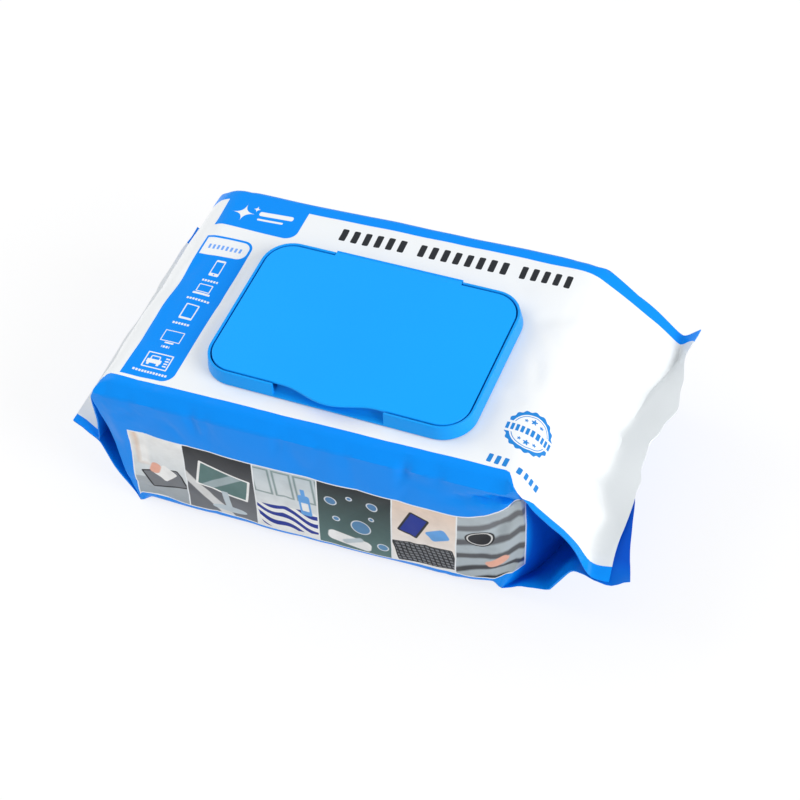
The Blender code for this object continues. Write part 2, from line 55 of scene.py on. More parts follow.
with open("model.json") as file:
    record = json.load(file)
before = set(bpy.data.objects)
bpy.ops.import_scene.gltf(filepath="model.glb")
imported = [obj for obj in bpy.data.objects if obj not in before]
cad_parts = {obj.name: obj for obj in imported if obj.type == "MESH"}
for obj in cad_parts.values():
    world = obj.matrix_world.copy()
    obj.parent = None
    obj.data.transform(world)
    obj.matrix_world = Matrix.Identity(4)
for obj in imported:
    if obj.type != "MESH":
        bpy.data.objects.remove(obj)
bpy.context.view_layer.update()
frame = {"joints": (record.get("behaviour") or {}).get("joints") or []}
FILM_LOW, FILM_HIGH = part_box("film_pack")
FRAME_LOW, FRAME_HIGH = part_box("lid_frame")
LID_LOW, LID_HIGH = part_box("flip_lid")
LABEL_LOW, LABEL_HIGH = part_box("peel_label")
HINGE = Vector(frame["joints"][0]["pos_m"])
MM = 0.001

# Where the ends of the film lie, from the pack's outer edges
FLAP_SPLAY = 8 * MM
LEFT_EDGE = FILM_LOW.x
LEFT_SEAL = LEFT_EDGE + 10.5 * MM
LEFT_SHOULDER = LEFT_SEAL + 6 * MM
RIGHT_EDGE = FILM_HIGH.x - FLAP_SPLAY
RIGHT_SEAL = RIGHT_EDGE - 13 * MM
RIGHT_SHOULDER = RIGHT_SEAL - 21.5 * MM
PACK_HEIGHT = FILM_HIGH.z
LID_CENTRE = Vector((
    (LID_LOW.x + LID_HIGH.x) / 2,
    (FRAME_LOW.y + FRAME_HIGH.y) / 2,
    0))

FRONT, BACK = -1, 1
MERGE = 1e-6

# Fineness of the film's mesh
GUSSET_COLUMNS = 16
MIDDLE_COLUMNS = 36
ROUND_COLUMNS = 8
WALL_COLUMNS = 26
BODY_ROWS = 104
TAPER_ROWS = 24
FIN_ROWS = 9


def length(name, description, default):
    return bpy.props.FloatProperty(
        name=name, description=description, default=default, unit="LENGTH", precision=5)


def share(name, description, default):
    return bpy.props.FloatProperty(name=name, description=description, default=default, min=0, max=1)


def paint(name, description, red, green, blue):
    """A colour property whose default is given as it looks on screen, 0 to 255."""
    return bpy.props.FloatVectorProperty(
        name=name, description=description, subtype="COLOR", size=3, min=0, max=1,
        default=screen_colour(red, green, blue))


def screen_colour(*levels):
    """The linear value of a colour that is given as screen levels, 0 to 255."""
    shares = [level / 255 for level in levels]
    return tuple(x / 12.92 if x <= 0.04045 else ((x + 0.055) / 1.055) ** 2.4 for x in shares)


class FilmSizes(bpy.types.PropertyGroup):
    """Form of the film round its stack of wipes."""

    block_width: length("Block width", "Across the long upper and lower edges", 113.5 * MM)
    seal_width: length("Seal width", "Across the flat end fins", 112.8 * MM)
    gusset_depth: length("Gusset depth", "How far each side is tucked in at the seal", 35 * MM)
    fold: length("Fold", "Two layers of film where a gusset lies on its slope", 1.0 * MM)
    fin_thickness: length("Fin thickness", "Four layers of film in a fin", 0.8 * MM)
    edge_radius: length("Edge radius", "Front upper edge", 7 * MM)
    back_radius: length("Back radius", "Back upper edge", 3.0 * MM)
    base_radius: length("Base radius", "Long lower edges", 6 * MM)
    corner_run: length("Corner run", "Length over which a long edge sharpens to a fold", 6 * MM)
    side_bulge: length("Side bulge", "How far each long side stands out at half height", 1 * MM)
    lean: length("Lean", "Sideways lean of the wipes inside the film, at each end", 2.0 * MM)
    edge_crease: share("Edge crease", "How far the front upper edge is pressed flat", 0.95)
    fold_bulge: length("Fold bulge", "How far the film of the sides bulges out at the right end", 5 * MM)
    wrinkle: length("Wrinkle", "Height of the soft wrinkles all over the film", 0.8 * MM)
    crease: length("Crease", "Depth of the fine creases", 0.5 * MM)
    pleat: length("Pleat", "Height of the short waves along the right seal line", 1.1 * MM)


class LidSizes(bpy.types.PropertyGroup):
    """Form of the lid and its frame."""

    lid_length: length("Lid length", "Along the pack", 104.2 * MM)
    lid_width: length("Lid width", "Across the pack, without the lip", 66.6 * MM)
    corner: length("Corner", "Radius of the lid's corners", 10.5 * MM)
    thickness: length("Thickness", "Wall of the lid panel", 1.1 * MM)
    lip_length: length("Lip length", "Width of the front lip", 38 * MM)
    lip_reach: length("Lip reach", "How far the lip stands out", 3.8 * MM)
    rim_gap: length("Rim gap", "Between lid and rim, all round", 0.6 * MM)
    rim_thickness: length("Rim thickness", "Width of the rim's top", 1.0 * MM)
    rim_draft: length("Rim draft", "How much further out the rim's foot is", 0.8 * MM)
    rounding: length("Rounding", "Radius of the rim's upper edges", 0.35 * MM)
    mouth_length: length("Mouth length", "Length of the dispensing mouth", 70 * MM)
    mouth_width: length("Mouth width", "Width of the dispensing mouth", 34 * MM)
    scoop_length: length("Scoop length", "Width of the finger scoop", 45 * MM)
    hinge_length: length("Hinge length", "Length of the living hinge", 53 * MM)


class Colours(bpy.types.PropertyGroup):
    """Colours of the film's print and of the plastic, with painted shade for the right fin and the gussets."""

    white: paint("White film", "Unprinted film", 240, 243, 245)
    # Painted shade: grey mixed into the white film of the right fin, for the shade it lies in below the slope
    fin: paint("Painted fin shade", "White film of the right fin, whose layers are pressed together, greyed as painted shade", 226, 231, 234)
    blue: paint("Blue film", "Printed fields and sides", 1, 143, 248)
    # Painted shade: this darker blue, mixed into the film deep in the gussets, stands in for the shade inside
    # the folds; it also draws the real seam below
    tuck: paint("Fold shade and seam", "Painted shade deep in the gussets, and the seam's crimped line", 3, 64, 190)
    mark: paint("Marks", "Bars that stand in the title's place", 45, 48, 52)
    seal: paint("Seal mark", "Ring, stars and number on the white film", 38, 134, 214)
    lid: paint("Lid", "Flip lid", 16, 166, 255)
    rim: paint("Frame", "Lid frame", 18, 159, 248)
    label: paint("Label", "Peel label", 226, 232, 238)


# One end of the pack. The three-part values are at the front edge, the middle and the back edge.
End = namedtuple("End", "side shoulder drop round fall heel seal seal_z edge edge_z top_belly base_belly")

LEFT_END = End(
    side=-1,
    shoulder=(LEFT_SHOULDER,) * 3,
    drop=(8 * MM,) * 3,
    round=(9 * MM, 16 * MM, 16 * MM),
    fall=3.0,
    heel=LEFT_SHOULDER + 7 * MM,
    seal=(LEFT_SEAL,) * 3,
    seal_z=(31 * MM,) * 3,
    edge=(LEFT_EDGE,) * 3,
    edge_z=(39 * MM,) * 3,
    top_belly=1 * MM,
    base_belly=0.8 * MM,
)
RIGHT_END = End(
    side=1,
    shoulder=(RIGHT_SHOULDER, RIGHT_SHOULDER - 2 * MM, RIGHT_SHOULDER - 3.2 * MM),
    drop=(2 * MM, 5 * MM, 3.8 * MM),
    round=(8.5 * MM, 17 * MM, 17 * MM),
    fall=3.8,
    heel=RIGHT_SHOULDER - 9.5 * MM,
    seal=(RIGHT_SEAL, RIGHT_SEAL - 4 * MM, RIGHT_SEAL + 5 * MM),
    seal_z=(37 * MM, 37 * MM, 41 * MM),
    edge=(RIGHT_EDGE, RIGHT_EDGE - 2 * MM, RIGHT_EDGE),
    edge_z=(37 * MM, 38 * MM, 46 * MM),
    top_belly=1 * MM,
    base_belly=4.2 * MM,
)
# How the ends' swelling fades to their edges, and how much more the front right corner swells
BELLY_FADE = 0.5
FRONT_BELLY = 1.5
# The pressed front edge: share of the turn, way out and way down as shares of the radius
PRESSED_EDGE = ((0, 0, 0), (0.25, 0.42, 0.09), (0.875, 1.0, 0.82), (1, 0.99, 1))
# How the lower flap's front edge is bent: share of the slope and lift
FLAP_LIFT = ((0, 0), (0.15, 2), (0.3, 0), (0.45, -2.8), (0.55, 3), (0.62, 5.5), (0.7, 7.8), (0.85, 3.5), (1, 0))
# Creases of the front panel: place along and up, direction, depth, width and half length
FRONT_CREASES = (
    (66.5, 62.5, 0.22, 3.4, 1.5, 8.5),
    (54.0, 59.0, 0.35, 1.2, 1.6, 9.0),
    (68.0, 50.0, 1.25, 1.6, 2.0, 12.0),
    (61.0, 40.0, 1.0, 0.9, 2.4, 9.0),
    (40.0, 60.0, -0.2, 0.5, 1.6, 8.0),
    (28.0, 60.0, 1.2, 0.6, 1.3, 4.0),
    (-22.0, 60.5, 1.4, 0.5, 1.2, 4.0),
    (-56.0, 60.0, 1.5, 0.8, 1.2, 4.5),
    (-50.0, 59.0, 1.2, 0.6, 1.2, 4.0),
    (-86.0, 58.0, 0.5, 0.8, 1.4, 7.0),
    (-84.0, 10.0, -0.4, 0.9, 1.8, 9.0),
    (40.0, 6.0, 0.1, 0.7, 1.8, 14.0),
    (66.0, 16.0, 0.8, 1.2, 2.2, 9.0),
)
# Share of an end slope over which the tucked layers part from it
FOLD_START = 0.3
# How far the right end's seal line and fin edge lie out from their plain curves: place across and offset
SEAL_LINE = ((-56, 0), (-45, 0), (-30, 1.2), (-15, 2.8), (2, 1.4), (26, 2.8), (45, 4.6), (57, 0.5))
FIN_EDGE = ((-56, 0), (-14, 0), (-7, -1.8), (2, -1.6), (10, 1.8), (20, 4.0), (32, 1.6), (45, -1.6), (57, 0))
# The bend at each seal line is rounded off over this length to each side, by a weighted mean of near points
SEAL_EASE = {-1: 4 * MM, 1: 5 * MM}
EASE_STEPS = ((-0.8, 0.2), (-0.4, 0.6), (0, 1), (0.4, 0.6), (0.8, 0.2))
# Valley along the right bend: place across and depth
SEAL_VALLEY = ((-40, 0), (-22, 0.7), (-8, 0.2), (4, 0.9), (14, 0.4), (28, 1.5), (44, 1.3), (54, 0))
FIN_WAVE = 1.6 * MM
FIN_WAVES = 2.5
# A tucked layer lies closer to its slope at the edge, over this many columns
FOLD_EDGE = 0.55
FOLD_STEPS = 4
FLAP_GAP = 2.4 * MM
FLAP_SLIT = 0.2 * MM

# Folds that run from the right seal line up the slope: place across, slant, depth, width and reach
SEAL_FOLDS = (
    (27.0, 0.7, 2.6, 4.5, 15.0),
    (43.0, 0.5, 1.2, 3.0, 10.0),
    (5.0, 0.5, 1.7, 2.6, 9.0),
    (-18.0, 0.35, 3.0, 3.4, 13.0),
    (-33.0, -0.2, -1.6, 6.0, 18.0),
    (15.0, 0.6, -1.2, 6.0, 16.0),
)
# The soft wrinkles: scale, seed and share. The fine creases: turn, scale and seed
WRINKLES = ((34, (3.1, 0.4, 7.7), 1), (71, (9.2, 5.5, 1.3), 0.5))
FINE_CREASES = ((0.5, 38, 4.7), (-0.9, 46, 11.9), (1.7, 58, 23.3))
# Soft dents of the top panel: place along and across, direction, depth, width and half length
TOP_DENTS = (
    (62.0, -2.0, 1.9, 0.9, 2.2, 7.0),
    (66.0, 12.0, 2.4, 0.7, 2.6, 9.0),
    (56.0, 24.0, 0.3, 0.5, 3.0, 9.0),
    (64.0, 33.0, 1.5, 0.5, 1.8, 8.0),
    (58.5, -16.0, 2.8, 0.6, 3.0, 8.0),
    (-66.0, 8.0, 1.6, 0.5, 2.4, 12.0),
    (-88.0, 6.0, 1.3, 0.9, 2.4, 12.0),
    (-92.0, -28.0, 1.9, 0.8, 2.0, 9.0),
    (-90.0, 34.0, 1.7, 0.9, 2.0, 10.0),
)

# The flat film's own length past each shoulder, from shoulder to seal line, and its fin
SLOPE_FILM = {-1: 40 * MM, 1: 38 * MM}
FIN_FILM = {-1: 13 * MM, 1: 13 * MM}

# Small dents along the front upper edge: place along the pack and depth
EDGE_DENT_HEIGHT = 65.5 * MM
EDGE_DENTS = ((-83.0, 0.5), (-57.0, 1.1), (-51.0, 0.6), (-21.0, 0.6), (6.0, 0.4), (29.5, 2.2), (43.0, 0.8))

# How the printed picture is drawn up towards the front right corner
DRAW_START = 46 * MM
DRAW_END = 76 * MM
DRAW_RISE = 20 * MM
LOW_DRAW_START = 61 * MM
LOW_DRAW_RISE = 13 * MM


def lerp(a, b, t):
    return a + (b - a) * t


def clamp(value, low=0.0, high=1.0):
    return max(low, min(high, value))


def smooth(value):
    value = clamp(value)
    return value * value * (3 - 2 * value)


def table(rows, place, ease=float):
    """The value at a place, read from rows of (place, value) with straight or eased steps between."""
    for (start, value), (stop, next_value) in zip(rows, rows[1:]):
        if place <= stop:
            return lerp(value, next_value, ease((place - start) / (stop - start)))
    return rows[-1][1]


def across(values, t):
    """A value at t, from -1 at the front edge to 1 at the back edge."""
    front, middle, back = values
    return middle + (back - front) / 2 * t + ((back + front) / 2 - middle) * t * t


class FilmForm:
    """The film as rows of points round the pack, from the left fin's edge to the right one's."""

    def __init__(self, sizes):
        self.sizes = sizes
        tuck = 1 - 2 * sizes.gusset_depth / sizes.seal_width
        outer = [lerp(-1, -tuck, k / GUSSET_COLUMNS) for k in range(GUSSET_COLUMNS)]
        middle = [lerp(-tuck, tuck, k / MIDDLE_COLUMNS) for k in range(MIDDLE_COLUMNS + 1)]
        self.columns = outer + middle + [-t for t in reversed(outer)]
        self.half_fin = sizes.fin_thickness / 2

    def skew(self, x):
        return self.sizes.lean * x / ((RIGHT_SHOULDER - LEFT_SHOULDER) / 2)

    def half_width(self, s):
        return lerp(self.sizes.block_width, self.sizes.seal_width, s) / 2

    def off_line(self, end, t, rows):
        """How far the right end's seal line or fin edge lies out from its plain curve."""
        return table(rows, t * self.sizes.seal_width / 2 / MM, smooth) * MM if end is RIGHT_END else 0

    def film_point(self, end, t, past, top):
        """A point of the upper or lower film, past the seal line or before it, with the bend rounded off."""
        slope, fin = SLOPE_FILM[end.side], FIN_FILM[end.side]
        ease = SEAL_EASE[end.side] * smooth((past + slope * 0.6) / (slope * 0.3))
        ease = min(ease, fin - past)
        half = Vector((0, 0, self.half_fin if top else -self.half_fin))
        total, weights = Vector(), 0
        for step, weight in EASE_STEPS if ease > 0 else ((0, 1),):
            place = past + step * ease
            if place <= 0:
                point = self.end_point(end, t, 1 + place / slope, top)
            else:
                point = self.fin_middle(end, t, place / fin) + half
            total += point * weight
            weights += weight
        return total / weights

    def end_point(self, end, t, s, top):
        """A point of an end slope: t across, s from the shoulder or heel to the seal line."""
        half_fin = self.half_fin if top else -self.half_fin
        seal_x = across(end.seal, t) + self.off_line(end, t, SEAL_LINE)
        seal = Vector((seal_x, 0, across(end.seal_z, t) + half_fin))
        if top:
            start = Vector((across(end.shoulder, t), 0, PACK_HEIGHT - across(end.drop, t)))
            belly = end.top_belly
        else:
            start = Vector((end.heel, 0, 0))
            belly = end.base_belly
        chord = seal - start
        outward = Vector((abs(chord.z), 0, abs(chord.x) * (1 if top else -1))).normalized()
        outward.x *= end.side
        fade = 1 - BELLY_FADE * t * t
        if not top and end is RIGHT_END:
            fade += FRONT_BELLY * smooth(-t * 2.5 - 1.3) * (1 - s)
        point = start.lerp(seal, s) + outward * belly * 4 * s * (1 - s) * fade
        if not top and end is RIGHT_END:
            point.z += table(FLAP_LIFT, s) * MM * smooth((-t - 0.74) / 0.2)
        point.y = t * self.half_width(s) + self.skew(start.x) * (1 - s)
        return point

    def slit(self, k):
        """Half the gap between two loose flaps at column k, closed where the tuck ends."""
        return Vector((0, 0, FLAP_SLIT * (1 - k / GUSSET_COLUMNS)))

    def end_row(self, end, s, loose):
        """The closed line round the pack at share s of an end slope."""
        into_pack = Vector((-end.side * self.sizes.fold, 0, 0))
        lift = clamp(s / FOLD_START)
        upper_offset = (into_pack + Vector((0, 0, -self.half_fin))) * lift
        lower_offset = (into_pack + Vector((0, 0, self.half_fin))) * lift
        past = (s - 1) * SLOPE_FILM[end.side]
        top = [self.film_point(end, t, past, True) for t in self.columns]
        base = [self.film_point(end, t, past, False) for t in self.columns]
        sides = {}
        for side in (FRONT, BACK):
            depths = [self.sizes.gusset_depth * s * k / GUSSET_COLUMNS for k in range(GUSSET_COLUMNS + 1)]
            tucks = [side * (1 - depth / self.half_width(s)) for depth in depths]
            inset = [lerp(FOLD_EDGE, 1, min(1, k / FOLD_STEPS)) for k in range(GUSSET_COLUMNS + 1)]
            upper = [self.film_point(end, t, past, True) + upper_offset * k for t, k in zip(tucks, inset)]
            lower = [self.film_point(end, t, past, False) + lower_offset * k for t, k in zip(tucks, inset)]
            if side in loose:
                upper = [point + self.slit(k) * lift for k, point in enumerate(upper)]
                lower = [point - self.slit(k) * lift for k, point in enumerate(lower)]
            if s == 1:
                shut = slice(-1 if side in loose else 0, None)
                upper[shut] = lower[shut] = [(high + low) / 2 for high, low in zip(upper[shut], lower[shut])]
            steps = [0.0] * ROUND_COLUMNS
            steps += [k / WALL_COLUMNS for k in range(WALL_COLUMNS + 1)]
            steps += [1.0] * ROUND_COLUMNS
            wall = [upper[-1].lerp(lower[-1], k) for k in steps]
            if end is RIGHT_END:
                for point, k in zip(wall, steps):
                    point += self.bulge(side, k, 1) * (1 - s) ** 3
            sides[side] = upper + wall + lower[::-1]
        return self.closed_row(top, base, sides)

    def bulge(self, side, depth, p):
        """How the film of a side swells towards the right end and turns in there."""
        out = self.sizes.fold_bulge * smooth((p - 0.84) / 0.16) * sin(pi * depth)
        return Vector((out, -side * out * 0.35 * smooth((p - 0.93) / 0.07), 0))

    def closed_row(self, top, base, sides):
        """Top panel front to back, back side down, bottom panel back to front, front side up."""
        return top + sides[BACK] + base[::-1] + sides[FRONT][::-1]

    def body_height(self, x, t):
        """Height of the top panel, which falls off to the two shoulders."""
        left = clamp(1 - (x - across(LEFT_END.shoulder, t)) / across(LEFT_END.round, t))
        right = clamp(1 - (across(RIGHT_END.shoulder, t) - x) / across(RIGHT_END.round, t))
        ends = ((LEFT_END, left), (RIGHT_END, right))
        return PACK_HEIGHT - sum(across(end.drop, t) * near ** end.fall for end, near in ends)

    def rounded(self, radius, angle, crease):
        """A point of a long edge: out and down from the panel's end, part arc and part pressed flat."""
        arc = Vector((sin(angle), 1 - cos(angle))) * radius
        turn = angle / (pi / 2)
        for (start, out, down), (stop, next_out, next_down) in zip(PRESSED_EDGE, PRESSED_EDGE[1:]):
            if turn <= stop:
                part = (turn - start) / (stop - start)
                flat = Vector((lerp(out, next_out, part), lerp(down, next_down, part))) * radius
                return arc.lerp(flat, crease)
        return arc

    def body_row(self, p):
        """The closed line round the block of wipes at share p of its length."""
        sizes = self.sizes
        top, base = [], []
        top_x = [lerp(across(LEFT_END.shoulder, t), across(RIGHT_END.shoulder, t), p) for t in self.columns]
        base_x = lerp(LEFT_END.heel, RIGHT_END.heel, p)
        run = (RIGHT_SHOULDER - LEFT_SHOULDER) * min(p, 1 - p) / sizes.corner_run
        edges = {side: radius * smooth(run) for side, radius in (
            (FRONT, sizes.edge_radius), (BACK, sizes.back_radius))}
        foot = sizes.base_radius * smooth(run)
        for x, t in zip(top_x, self.columns):
            y = t * (sizes.block_width / 2 - edges[FRONT if t < 0 else BACK]) + self.skew(x)
            top.append(Vector((x, y, self.body_height(x, t))))
            base.append(Vector((base_x, t * (sizes.block_width / 2 - foot) + self.skew(base_x), 0)))
        sides = {}
        for side, upper, lower in ((FRONT, top[0], base[0]), (BACK, top[-1], base[-1])):
            wall = []
            crease = sizes.edge_crease if side == FRONT else 0
            for k in range(ROUND_COLUMNS + 1):
                out, down = self.rounded(edges[side], pi / 2 * k / ROUND_COLUMNS, crease)
                wall.append(upper + Vector((0, side * out, -down)))
            for k in range(ROUND_COLUMNS, -1, -1):
                out, up = self.rounded(foot, pi / 2 * k / ROUND_COLUMNS, 0)
                wall.append(lower + Vector((0, side * out, up)))
            high, low = wall[ROUND_COLUMNS], wall[ROUND_COLUMNS + 1]
            middle = [high.lerp(low, k / WALL_COLUMNS) for k in range(1, WALL_COLUMNS)]
            wall[ROUND_COLUMNS + 1:ROUND_COLUMNS + 1] = middle
            for point in wall:
                depth = clamp((upper.z - point.z) / (upper.z - lower.z))
                point.x = lerp(upper.x, lower.x, depth)
                point.y += side * sizes.side_bulge * sin(pi * depth) * smooth(run)
                point += self.bulge(side, depth, p)
            tuck = [upper] * (GUSSET_COLUMNS + 1)
            heel = [lower] * (GUSSET_COLUMNS + 1)
            sides[side] = tuck + wall + heel
        return self.closed_row(top, base, sides)

    def fin_middle(self, end, t, f):
        """A point half way through a fin's thickness, f from the seal line to the edge."""
        wave = 0.0
        if end is RIGHT_END:
            wave = FIN_WAVE * sin(pi * FIN_WAVES * (t + 1) / 2) ** 2 * f
        seal_x = across(end.seal, t) + self.off_line(end, t, SEAL_LINE)
        edge_x = across(end.edge, t) + self.off_line(end, t, FIN_EDGE)
        x = lerp(seal_x, edge_x, f) - wave / 2
        z = lerp(across(end.seal_z, t), across(end.edge_z, t), f) + wave
        return Vector((x, t * self.sizes.seal_width / 2, z))

    def fin_row(self, end, f, loose):
        """The closed line round a fin. The sides named in loose have two flaps that aren't sealed."""
        half = Vector((0, 0, self.half_fin))
        past = f * FIN_FILM[end.side]
        top = [self.film_point(end, t, past, True) for t in self.columns]
        base = [self.film_point(end, t, past, False) for t in self.columns]
        sides = {}
        for side in (FRONT, BACK):
            edge = 0 if side == FRONT else -1
            middle = (top[edge] + base[edge]) / 2
            count = 2 * (GUSSET_COLUMNS + 1) + 2 * ROUND_COLUMNS + WALL_COLUMNS + 1
            sides[side] = [middle] * count
            if side in loose:
                upper, lower = [], []
                for k in range(GUSSET_COLUMNS + 1):
                    part = f * (1 - k / GUSSET_COLUMNS)
                    sag = Vector((FLAP_SPLAY * part, 0, -FLAP_GAP * part))
                    column = k if side == FRONT else -1 - k
                    base[column] += sag
                    upper.append(top[column] - half + self.slit(k))
                    lower.append(base[column] + half - self.slit(k))
                upper[-1] = lower[-1] = (upper[-1] + lower[-1]) / 2
                wall = [upper[-1]] * (count - 2 * len(upper))
                sides[side] = upper + wall + lower[::-1]
        return self.closed_row(top, base, sides)

    def rows(self):
        """Rows of points, and for each row the film's own length coordinate at each point."""
        taper = [k / TAPER_ROWS for k in range(TAPER_ROWS + 1)]
        fin = [k / FIN_ROWS for k in range(1, FIN_ROWS + 1)]
        body = [k / BODY_ROWS for k in range(1, BODY_ROWS)]
        left_fin = [self.fin_row(LEFT_END, f, ()) for f in reversed(fin)]
        left = [self.end_row(LEFT_END, s, ()) for s in reversed(taper)]
        middle = [self.body_row(p) for p in body]
        right = [self.end_row(RIGHT_END, s, (FRONT,)) for s in taper]
        right_fin = [self.fin_row(RIGHT_END, f, (FRONT,)) for f in fin]
        along = [[point.x for point in row] for row in middle]
        for end, shares, place in ((LEFT_END, taper, 0), (RIGHT_END, taper, len(along))):
            crease = (left[-1] if end is LEFT_END else right[0])
            starts = [point.x for point in crease]
            seal = across(end.shoulder, 0) + end.side * SLOPE_FILM[end.side]
            slope = [[lerp(x, seal, s) for x in starts] for s in shares]
            strip = [[seal + end.side * FIN_FILM[end.side] * f] * len(starts) for f in fin]
            if end is LEFT_END:
                along = strip[::-1] + slope[::-1] + along
            else:
                along = along + slope + strip
        return left_fin, left + middle + right, right_fin, along

    def girth(self, row):
        """The film's own cross coordinate at each point of a row, from 0 on the top's middle line."""
        count, panel = len(row), len(self.columns)
        middle = panel // 2
        places = [0.0] * count
        places[middle] = row[middle].y
        bottom = panel + (count - 2 * panel) // 2 + panel // 2
        for k in range(middle + 1, bottom + 1):
            places[k] = places[k - 1] + (row[k] - row[k - 1]).length
        behind = middle
        for k in list(range(middle - 1, -1, -1)) + list(range(count - 1, bottom, -1)):
            places[k] = places[behind] - (row[k] - row[behind]).length
            behind = k
        return places


def outward(point):
    """A smooth direction away from the pack's middle, the same for layers that lie together."""
    half = (FILM_HIGH - FILM_LOW) / 2
    middle = (FILM_HIGH + FILM_LOW) / 2
    offset = point - middle
    scaled = Vector(offset[k] / half[k] for k in range(3))
    return Vector(scaled[k] ** 5 / half[k] for k in range(3)).normalized()


def dent(off, turn, depth, width, half):
    """Depth of a long soft dent, at an offset in millimetres from its middle."""
    along = (off.x * cos(turn) + off.y * sin(turn)) / half
    beyond = (off.y * cos(turn) - off.x * sin(turn)) / width
    return depth * MM * exp(-along ** 2 - beyond ** 2)


def crumple(point, sizes):
    """How far the soft wrinkles and fine creases move a point of the film."""
    rest = smooth(point.z / (4 * MM))
    bend = exp(-((point.x - RIGHT_SEAL) / (11 * MM)) ** 2)
    off_x = abs(point.x - LID_CENTRE.x) - (FRAME_HIGH.x - FRAME_LOW.x) / 2
    off_y = abs(point.y - LID_CENTRE.y) - (FRAME_HIGH.y - FRAME_LOW.y) / 2
    if point.z > PACK_HEIGHT - 6 * MM:
        rest *= smooth(max(off_x, off_y) / (9 * MM))
    end = smooth((abs(point.x) - 60 * MM) / (30 * MM))
    soft = sum(part * noise.noise(point * scale + Vector(seed)) for scale, seed, part in WRINKLES)
    move = sizes.wrinkle * soft * (0.55 + 0.75 * end)
    for turn, scale, seed in FINE_CREASES:
        along = point.x * cos(turn) + point.y * sin(turn)
        beyond = -point.x * sin(turn) + point.y * cos(turn)
        place = Vector((along * scale * 0.35, beyond * scale, point.z * scale * 0.6 + seed))
        ridge = 1 - abs(noise.noise(place)) * 3.2
        patch = smooth(noise.noise(point * 22 + Vector((seed, seed, 0))) * 2.4 + 0.25 + 0.35 * end)
        move -= sizes.crease * clamp(ridge) ** 2 * patch
    high = smooth((point.z - 20 * MM) / (14 * MM))
    move += sizes.pleat * noise.noise(Vector((point.y * 48, point.x * 12, 2.7))) * bend * high
    for place, slant, depth, width, reach in SEAL_FOLDS:
        past = (RIGHT_SEAL - point.x) / (reach * MM) - 0.5
        beside_fold = (point.y - place * MM + slant * (point.x - RIGHT_SEAL)) / (width * MM)
        move -= depth * MM * exp(-beside_fold ** 2 - (past / 0.45) ** 2) * high
    for x, y, *form in TOP_DENTS:
        if abs(point.x - x * MM) < 30 * MM and point.z > 20 * MM:
            move -= dent(Vector((point.x - x * MM, point.y - y * MM)) / MM, *form)
    if point.y < -50 * MM:
        for x, z, *form in FRONT_CREASES:
            move -= dent(Vector((point.x - x * MM, point.z - z * MM)) / MM, *form)
    if point.y < 0:
        down = exp(-((point.z - EDGE_DENT_HEIGHT) / (3.5 * MM)) ** 2)
        for place, depth in EDGE_DENTS:
            move -= depth * MM * exp(-((point.x - place * MM) / (2.2 * MM)) ** 2) * down
    return outward(point) * move * rest + corner_pull(point) - Vector((0, 0, valley(point)))


def valley(point):
    """Depth of the fold that runs along the right bend."""
    seal = across(RIGHT_END.seal, point.y / (FILM_HIGH.y - MM)) + table(SEAL_LINE, point.y / MM, smooth) * MM
    near = exp(-((point.x - seal + 0.6 * MM) / (1.7 * MM)) ** 2)
    return table(SEAL_VALLEY, point.y / MM, smooth) * MM * near


def corner_pull(point):
    """How the front right corner is lifted off the floor, drawn out along the seal and folded down."""
    x, y, z = point.x / MM, point.y / MM, point.z / MM
    lift = 5.5 * smooth((x - 42) / 24) * smooth((-y - 26) / 26) * (1 - smooth(z / 30))
    at_seal = smooth((x - 76) / 15) * (1 - smooth((x - 97) / 11))
    shift = 4.6 * smooth((-y - 17) / 18) * at_seal
    hang = smooth((x - 88) / 9) * (1 - smooth((x - 107) / 10)) * smooth((-y - 50) / 6.5)
    return Vector((shift, -1.5 * hang, lift - 4.2 * hang)) * MM


def drawn_up(point, place):
    """The cross coordinate of the print, drawn up to the fold at the front right corner."""
    if point.y > 0 or place > -60 * MM:
        return place
    pull = clamp((point.x - DRAW_START) / (DRAW_END - DRAW_START)) ** 1.7
    low_pull = clamp((point.x - LOW_DRAW_START) / (DRAW_END - LOW_DRAW_START)) ** 1.3
    high = clamp((point.z - 8 * MM) / (50 * MM))
    return place - lerp(LOW_DRAW_RISE * low_pull, DRAW_RISE * pull, high)


